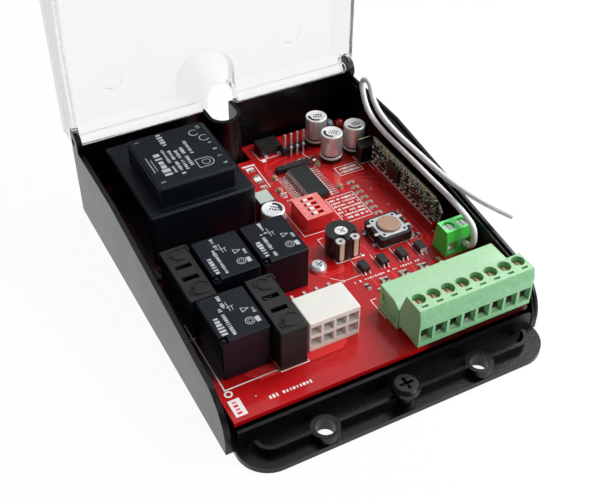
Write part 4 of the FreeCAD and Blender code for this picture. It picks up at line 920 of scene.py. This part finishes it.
makeTransformerMarks()
transformerRows = ((-34.8, 30.6, 6, 2.2, (1.7, 2.7), 1.0), (-32.2, 31.6, 15, 0.9, (0.65, 1.2), 0.9),
    (-30.3, 30.0, 15, 0.92, (0.7, 1.3), 0.9), (-28.3, 30.4, 14, 0.95, (0.7, 1.3), 0.85),
    (-26.2, 31.0, 12, 1.0, (0.75, 1.35), 0.85), (-23.8, 36.0, 8, 1.0, (0.75, 1.35), 0.9),
    (-30.2, 43.4, 5, 1.5, (1.0, 1.9), 1.0))
for number, (x, y, *row) in enumerate(transformerRows, 1):
    growCasePrint(f"transformerRows{number}", x, y, crownTop, *row, 60 + number)
pinNumbers = (("5", -37.8, 22.0), ("1", -37.8, 45.6), ("6", -16.2, 22.8), ("7", -16.2, 27.0),
    ("8", -16.2, 31.2), ("9", -16.2, 35.2), ("10", -16.4, 45.0))
for number, (text, x, y) in enumerate(pinNumbers, 1):
    addWord(f"pinNumber{number}", text, 2.0, (x, y, crownTop + inkLift), 90, printWhite)
print("tall blocks dressed")


# Fuse holders: matt caps with engraved marks, drawn as strips in a darker black that is painted shade in
# the grooves
fuseLook = dict(colour=(0.0085, 0.0082, 0.008), deep=(0.0055, 0.0053, 0.0052), roughness=0.52, grain=1800,
    height=0.2, edge=0.15, dust=0.012, scratch=0.06, specular=0.36)
fusePlastic = plastic("fusePlastic", fuseLook)
grooveShadeLook = dict(fuseLook, colour=(0.004, 0.004, 0.004), deep=(0.003, 0.003, 0.003))
grooveShadePlastic = plastic("fuseGroove", grooveShadeLook)
fuseCovers = {"fuse_cover_1": (-47.5, -19.0), "fuse_cover_2": (-30.0, -42.8)}
fuseTop = 25.5


def makeFuseMarks(node, x, y, top):
    work = bmesh.new()
    low, high = top - 0.02, top + 0.012
    for dx, dy in ((5.6, 4.2), (4.4, 20.6)):
        addStrip(work, arc(x + dx, y + dy, 2.3, 20, 190, 26), 0.5, top + 0.27, top + 0.33)
    for dx, dy in ((1.6, 2.2), (6.6, 21.4)):
        addStrip(work, box2(x + dx, x + dx + 2.2, y + dy, y + dy + 2.0), 0.4, low, high, True)
        addStrip(work, [(x + dx + 1.1, y + dy), (x + dx + 1.1, y + dy + 2.0)], 0.34, low, high)
    finishMesh(work, camel(node) + "Marks", [grooveShadePlastic], node)


for node, (x, y) in fuseCovers.items():
    softCopy(node, fusePlastic, 0.2)
    makeFuseMarks(node, x, y, fuseTop)
paintNode("fuse_bases", fusePlastic)
fuseGlassLook = dict(rim=0.6, colour=(0.98, 0.99, 0.99), deep=(0.8, 0.85, 0.85), roughness=0.04,
    spread=0.03, grain=200, height=0.01, dust=0.02, scratch=0.02, transmission=1, ior=1.47)
paintNode("fuse_links", clear("fuseGlass", fuseGlassLook))

# Power socket: natural nylon
socketLook = dict(colour=(0.86, 0.84, 0.79), deep=(0.8, 0.78, 0.72), roughness=0.36, grain=900, height=0.06,
    scratch=0.05, scatter=0.35)
softCopy("power_socket", plastic("socketNylon", socketLook), 0.15)

# Terminals: green polyamide
# The side colour is painted shade on the blocks' sides
terminalLook = dict(colour=(0.38, 0.64, 0.38), deep=(0.34, 0.59, 0.34), side=(0.2, 0.52, 0.24),
    roughness=0.36, grain=1400, height=0.07, edge=0.3, scratch=0.08, scatter=0.06)
terminalGreen = plastic("terminalGreen", terminalLook)
for node in ("terminal_header", "terminal_plug"):
    softCopy(node, terminalGreen, 0.15)
# The aerial block's sides carry the same painted shade
aerialLook = dict(terminalLook, colour=(0.24, 0.98, 0.34), deep=(0.19, 0.92, 0.28), side=(0.06, 0.78, 0.05))
softCopy("aerial_terminal", plastic("aerialGreen", aerialLook), 0.15)
screwLook = dict(colour=(0.86, 0.62, 0.42), deep=(0.66, 0.42, 0.26), roughness=0.34, metallic=0.5)
screwMetal = metal("screwMetal", screwLook)
for number in range(1, 9):
    softCopy(f"plug_screw_{number}", screwMetal, 0.08)
for number in (1, 2):
    softCopy(f"aerial_screw_{number}", bright, 0.08)

# Radio board: green laminate standing on its edge, crowded with small parts
radioLook = dict(boardLook, colour=(0.008, 0.040, 0.022), deep=(0.005, 0.026, 0.014))
radioGreen = plastic("radioGreen", radioLook)
glintLook = dict(colour=(0.7, 0.7, 0.42), deep=(0.52, 0.54, 0.26), roughness=0.4, grain=2000, edge=0,
    dust=0, mottle=700)
glint = plastic("glintYellow", glintLook)
crowdLook = dict(pale=(0.95, 0.96, 0.92), yellow=(0.66, 0.68, 0.3), dark=(0.004, 0.012, 0.008), scale=1150,
    roughness=0.4, spread=0.12, grain=2000, height=0.3)


# Pale and yellow speckles on dark stand for the small parts, partly as painted glints
def crowded(name, look):
    material, tree, shader, where = newMaterial(name)
    cells = addNode(tree, "ShaderNodeTexVoronoi", {"Vector": where, "Scale": look["scale"]})
    parts = addNode(tree, "ShaderNodeSeparateColor", {0: cells.outputs["Color"]}).outputs
    core = ramp(tree, cells.outputs["Distance"], 0.42, 0.50, 1.0, 0.0)
    tint = blendColour(tree, ramp(tree, parts[1], 0.55, 0.60), solid(look["pale"]), solid(look["yellow"]))
    seen = calc(tree, ramp(tree, parts[0], 0.46, 0.51), core)
    finishShader(tree, shader, where, look, blendColour(tree, seen, solid(look["dark"]), tint), 0.0, {})
    return material


outerSide, rowsFoot, rowsEnd, chipNear, chipFar, redFoot, redEnd = 43.0, 13.0, 33.0, 13.4, 20.8, 12.4, 31.0


# The parts block is crowded on its outer side except round its black chip, and its foot is board red
def radioSkin(c, n):
    if c.x > outerSide and c.z > rowsFoot and c.y < rowsEnd and not chipNear < c.y < chipFar:
        return 1
    return 2 if c.z < redFoot and c.y < redEnd else 0


crowd = crowded("crowdedFace", crowdLook)
softCopy("radio_board", [radioGreen, crowd], 0.05, choose=lambda c, n: n.x < -upright)
softCopy("radio_parts", [chipBlack, crowd, boardRed], 0.08, choose=radioSkin)
face = Matrix.Translation(Vector((46.1, 12.0, 16.4)) * mm) @ Matrix.Rotation(math.radians(-90), 4, "Y")
radioRows = ((6, 27, 1.5, (0.9, 0.7, 0.8), 0.55, 31, silkWhite),
    (7, 24, 1.7, (0.6, 1.0, 1.1), 0.45, 37, glint), (6, 29, 1.38, (0.8, 0.5, 0.9), 0.5, 41, bright),
    (9, 40, 1.0, (0.35, 0.35, 0.5), 0.35, 43, silkWhite))
for number, (across, along, gap, size, keep, seed, material) in enumerate(radioRows, 1):
    growPrint(f"radioMarks{number}", along, across, (gap, 7.6 / (across - 1)), size, keep, seed, material,
        face)
# The pads take the white print colour as a painted highlight in place of their tinned metal
growPrint("radioPads", 16, 2, (2.54, 0.9), (0.7, 1.5, 0.2), 0.9, 47, silkWhite, lay(45.2, 11.0, 12.32))


def makeRadioTrim():
    work = bmesh.new()
    addPrism(work, box2(46.05, 46.3, -6.9, 33.04), 20.8, 21.03)
    addStrip(work, [(42.3, 36.6), (47.0, 36.6)], 0.5, 18.76, 18.84)
    addStrip(work, [(44.08, -9.6), (44.08, 30.3)], 0.3, 12.28, 12.34, material=1)
    finishMesh(work, "radioTrim", [glint, silkWhite])


makeRadioTrim()

# Chips, rectifier and header: black bodies with tinned leads
leadLook = dict(brightLook, colour=(0.95, 0.95, 0.95), deep=(0.85, 0.85, 0.85), metallic=0.25)
chipMiddle, chipHalf, optoMiddle, optoHalf, optoFoot = 18.45, 3.73, -15.95, 2.25, 10.55
rectifierSides, rectifierFoot, headerFoot, headerHead = (53.95, 60.55), 10.41, 9.9, 12.55
softCopy("controller_chip", [chipBlack, metal("leadTin", leadLook)], 0.05,
    choose=lambda c, n: abs(c.x - chipMiddle) > chipHalf)
softCopy("opto_couplers", [chipBlack, bright], 0.05,
    choose=lambda c, n: c.z < optoFoot or abs(c.y - optoMiddle) > optoHalf)
softCopy("bridge_rectifier", [chipBlack, bright], 0.1,
    choose=lambda c, n: c.z < rectifierFoot and not rectifierSides[0] <= c.y <= rectifierSides[1])
softCopy("pin_header", [chipBlack, bright], 0.06, choose=lambda c, n: not headerFoot <= c.z <= headerHead)


# Slide switch, button and trimmer
switchLook = dict(colour=(0.8, 0.012, 0.014), deep=(0.72, 0.008, 0.01), roughness=0.34, grain=1500,
    height=0.06, dust=0.01, coat=0.1)
# Painted light: the switch's top face is a paler, pinker copy of its red plastic
switchTopLightLook = dict(switchLook, colour=(0.86, 0.25, 0.23), deep=(0.80, 0.17, 0.16), mottle=700.0)
switchTop, switchPitch, printLift = 15.6, 2.54, 0.015
softCopy("dip_switch", [plastic("switchRed", switchLook), plastic("switchFace", switchTopLightLook)], 0.1,
    choose=lambda c, n: n.z > upright and c.z > switchTop - 0.2)
sliderLook = dict(colour=(0.86, 0.85, 0.82), deep=(0.78, 0.76, 0.72), roughness=0.36, grain=1200,
    height=0.05)
sliderWhite = plastic("sliderWhite", sliderLook)
for node in [f"dip_slider_{n}" for n in range(1, 5)] + ["trimmer_rotor"]:
    softCopy(node, sliderWhite, 0.1)
addWord("switchWord", "ON", 1.3, (12.9, 19.3, switchTop + printLift), 0, silkWhite)
for number in range(1, 5):
    place = (7.2, 10.3 + switchPitch * (number - 1), switchTop + printLift)
    addWord(f"switchNumber{number}", str(number), 1.1, place, 0, silkWhite)
softCopy("button_body", chipBlack, 0.1)
plateRim, plateSlope = 13.7, 0.7
softCopy("button_plate", [bright, chipBlack], 0.04, choose=lambda c, n: c.z < plateRim and n.z < plateSlope)
capLook = dict(colour=(0.46, 0.29, 0.21), deep=(0.41, 0.25, 0.18), roughness=0.42, grain=1500, height=0.06,
    edge=0.2)
softCopy("button_cap", plastic("capTan", capLook), 0.25, 3)
paintNode("button_dome", tin)
softCopy("trimmer_body", chipBlack, 0.15)
legLook = dict(colour=(0.9, 0.88, 0.7), deep=(0.78, 0.74, 0.54), roughness=0.3, metallic=0.25)
softCopy("trimmer_legs", [metal("legBrass", legLook), bright], 0.05, choose=lambda c, n: n.z > upright)
buttonX, buttonY = 29.7, -4.6


def makeButtonDetails():
    work = bmesh.new()
    for dx, dy in ((-3.9, -3.9), (3.9, -3.9), (-3.9, 3.9), (3.9, 3.9)):
        profile = [(0, 13.9), (0.5, 13.9), (0.5, 14.06), (0.4, 14.14), (0, 14.16)]
        addLathe(work, profile, (buttonX + dx, buttonY + dy, 0), 20)
    finishMesh(work, "buttonRivets", [chipBlack])
    work = bmesh.new()
    for dy in (-3.2, 3.2):
        for x0, x1 in ((22.0, 23.9), (35.5, 37.4)):
            addPrism(work, box2(x0, x1, buttonY + dy - 0.55, buttonY + dy + 0.55), boardTop - sunk,
                boardTop + 0.4)
    finishMesh(work, "buttonFeet", [bright])


makeButtonDetails()

# Electrolytic capacitors: bare aluminium cans with a printed half moon on top
canLook = dict(colour=(0.74, 0.72, 0.7), deep=(0.66, 0.64, 0.62), roughness=0.36, metallic=0.7,
    scratch=0.15, grain=1200, height=0.05)
canTopLook = dict(colour=(0.93, 0.93, 0.92), deep=(0.84, 0.84, 0.83), roughness=0.36, metallic=0.3)
canMaterials = [metal("canMetal", canLook), metal("canTop", canTopLook), chipBlack]
inkLook = dict(colour=(0.02, 0.02, 0.022), deep=(0.012, 0.012, 0.013), roughness=0.5, grain=2000, edge=0,
    dust=0)
ink = plastic("printInk", inkLook)
canPlaces = [(33.9, 53.7, 40), (33.9, 41.9, 20), (43.9, 42.7, 70), (-4.7, 12.5, 200)]
canProfile = [(0, 10.0), (4.05, 10.0), (4.05, 11.7), (4.14, 11.8), (4.14, 12.5), (3.85, 12.6), (3.85, 13.2),
    (3.98, 13.3), (3.98, 20.9), (3.9, 21.3), (3.62, 21.48), (3.4, 21.42), (0, 21.36)]


def makeCans():
    work = bmesh.new()
    marks = bmesh.new()
    for x, y, turn in canPlaces:
        addLathe(work, canProfile, (x, y, 0), 56, [2, 2, 1, 1, 1, 2, 2, 0, 1, 1, 1, 1])
        inner = arc(x, y, 2.1, turn + 110, turn + 230, 22)
        addPrism(marks, arc(x, y, 3.15, turn + 110, turn + 230, 22) + inner[::-1], 21.3, 21.42)
    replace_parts(finishMesh(work, "capacitorCans", canMaterials), "electrolytic_capacitors")
    finishMesh(marks, "capacitorMarks", [ink])


makeCans()
for number, (x, y, turn) in enumerate(canPlaces, 1):
    growPrint(f"capacitorRows{number}", 2, 4, (1.25, 0.85), (0.7, 0.95, 0.04), 1.0, 80 + number, ink,
        lay(x + 0.5, y, 21.39, turn - 60))
filmLook = dict(chipLook, colour=(0.018, 0.018, 0.022), deep=(0.013, 0.013, 0.016))
discLook = dict(filmLook, colour=(0.10, 0.16, 0.24), deep=(0.07, 0.12, 0.18), roughness=0.35)
labelLook = dict(filmLook, colour=(0.56, 0.62, 0.56), deep=(0.46, 0.52, 0.46))
filmMiddle, discFoot = 20.0, 12.6


# The box has a pale top, and the disc stands on tinned leads
def filmSkin(c, n):
    if c.x < filmMiddle:
        return 3 if n.z > upright else 0
    return 1 if c.z > discFoot else 2


softCopy("film_capacitors", [plastic("filmBlack", filmLook), plastic("discBlue", discLook), tin,
    plastic("filmLabel", labelLook)], 0.15, choose=filmSkin)
lampLook = dict(rim=0.5, colour=(0.5, 0, 0), deep=(0.35, 0, 0), roughness=0.12, spread=0.04, grain=300,
    height=0.01, dust=0.02, scratch=0.02, transmission=0.5, ior=1.5)
softCopy("signal_lamp", clear("lampRed", lampLook), 0.0, limit=40.0)
print("board parts finished")


# Floor, light and backdrop
stageLook = dict(floor=(0.9, 0.9, 0.9), paleShare=0.95, size=3, world=(0.9, 0.95, 1), worldStrength=0.22,
    glossLow=0.1, glossFront=0.3, riseFrom=0.56, riseTo=0.74)


def makeStage(look):
    mesh = bpy.data.meshes.new("floor")
    half = look["size"] / 2
    mesh.from_pydata([(x, y, 0) for x, y in box2(-half, half, -half, half)], [], [(0, 1, 2, 3)])
    floor = newObject("floor", mesh)
    floor.location.z = -0.1 * mm
    material, tree, shader, _ = newMaterial("floorPale")
    shader.inputs["Base Color"].default_value = solid(look["floor"])
    shader.inputs["Roughness"].default_value = 0.6
    path = tree.nodes.new("ShaderNodeLightPath").outputs
    through = calc(tree, path["Is Camera Ray"], path["Is Transmission Ray"], "MAXIMUM")
    share = calc(tree, calc(tree, through, look["paleShare"]), path["Is Glossy Ray"], "MAXIMUM")
    light = nodeOut(tree, "ShaderNodeEmission", {"Color": (1, 1, 1, 1), "Strength": 1.0})
    mix = nodeOut(tree, "ShaderNodeMixShader", {0: share, 1: shader.outputs[0], 2: light})
    tree.links.new(mix, tree.nodes["Material Output"].inputs["Surface"])
    mesh.materials.append(material)


# The world is white to the camera and through the lid, a soft tent to glossy rays and dim to the rest
def makeWorld(look):
    world = bpy.data.worlds.new("studio")
    scene.world = world
    world.use_nodes = True
    tree = world.node_tree
    tree.nodes.clear()
    path = tree.nodes.new("ShaderNodeLightPath").outputs
    plain = calc(tree, calc(tree, path["Glossy Depth"], path["Diffuse Depth"], "ADD"), 0.5, "LESS_THAN")
    seen = calc(tree, path["Is Camera Ray"], calc(tree, path["Is Transmission Ray"], plain), "MAXIMUM")
    way = split(tree, tree.nodes.new("ShaderNodeTexCoord").outputs["Generated"])
    tent = ramp(tree, way["Z"], look["riseFrom"], look["riseTo"], look["glossLow"], 1.0)
    tent = calc(tree, tent, ramp(tree, way["Y"], -0.2, 0.3, look["glossFront"], 1.0))
    glossy = calc(tree, path["Glossy Depth"], 0.5, "GREATER_THAN")
    strength = calc(tree, seen, ramp(tree, glossy, 0.0, 1.0, look["worldStrength"], tent), "MAXIMUM")
    tint = blendColour(tree, seen, solid(look["world"]), (1, 1, 1, 1))
    glow = nodeOut(tree, "ShaderNodeBackground", {"Color": tint, "Strength": strength})
    tree.links.new(glow, tree.nodes.new("ShaderNodeOutputWorld").inputs[0])


def addLight(name, place, aim, size, power):
    data = bpy.data.lights.new(name, "AREA")
    data.shape = "RECTANGLE"
    data.size = data.size_y = size
    data.energy = power
    lamp = newObject(name, data)
    lamp.location = place
    lamp.rotation_euler = (Vector(aim) - Vector(place)).to_track_quat("-Z", "Y").to_euler()


makeStage(stageLook)
makeWorld(stageLook)
addLight("topLight", (0.60, 0.05, 0.70), (0, 0, 0.01), 0.55, 8.2)
addLight("frontLight", (0.52, -0.66, 0.46), (0, 0, 0.02), 0.5, 3.7)
scene.view_settings.view_transform = "Standard"
print("stage and lights set")
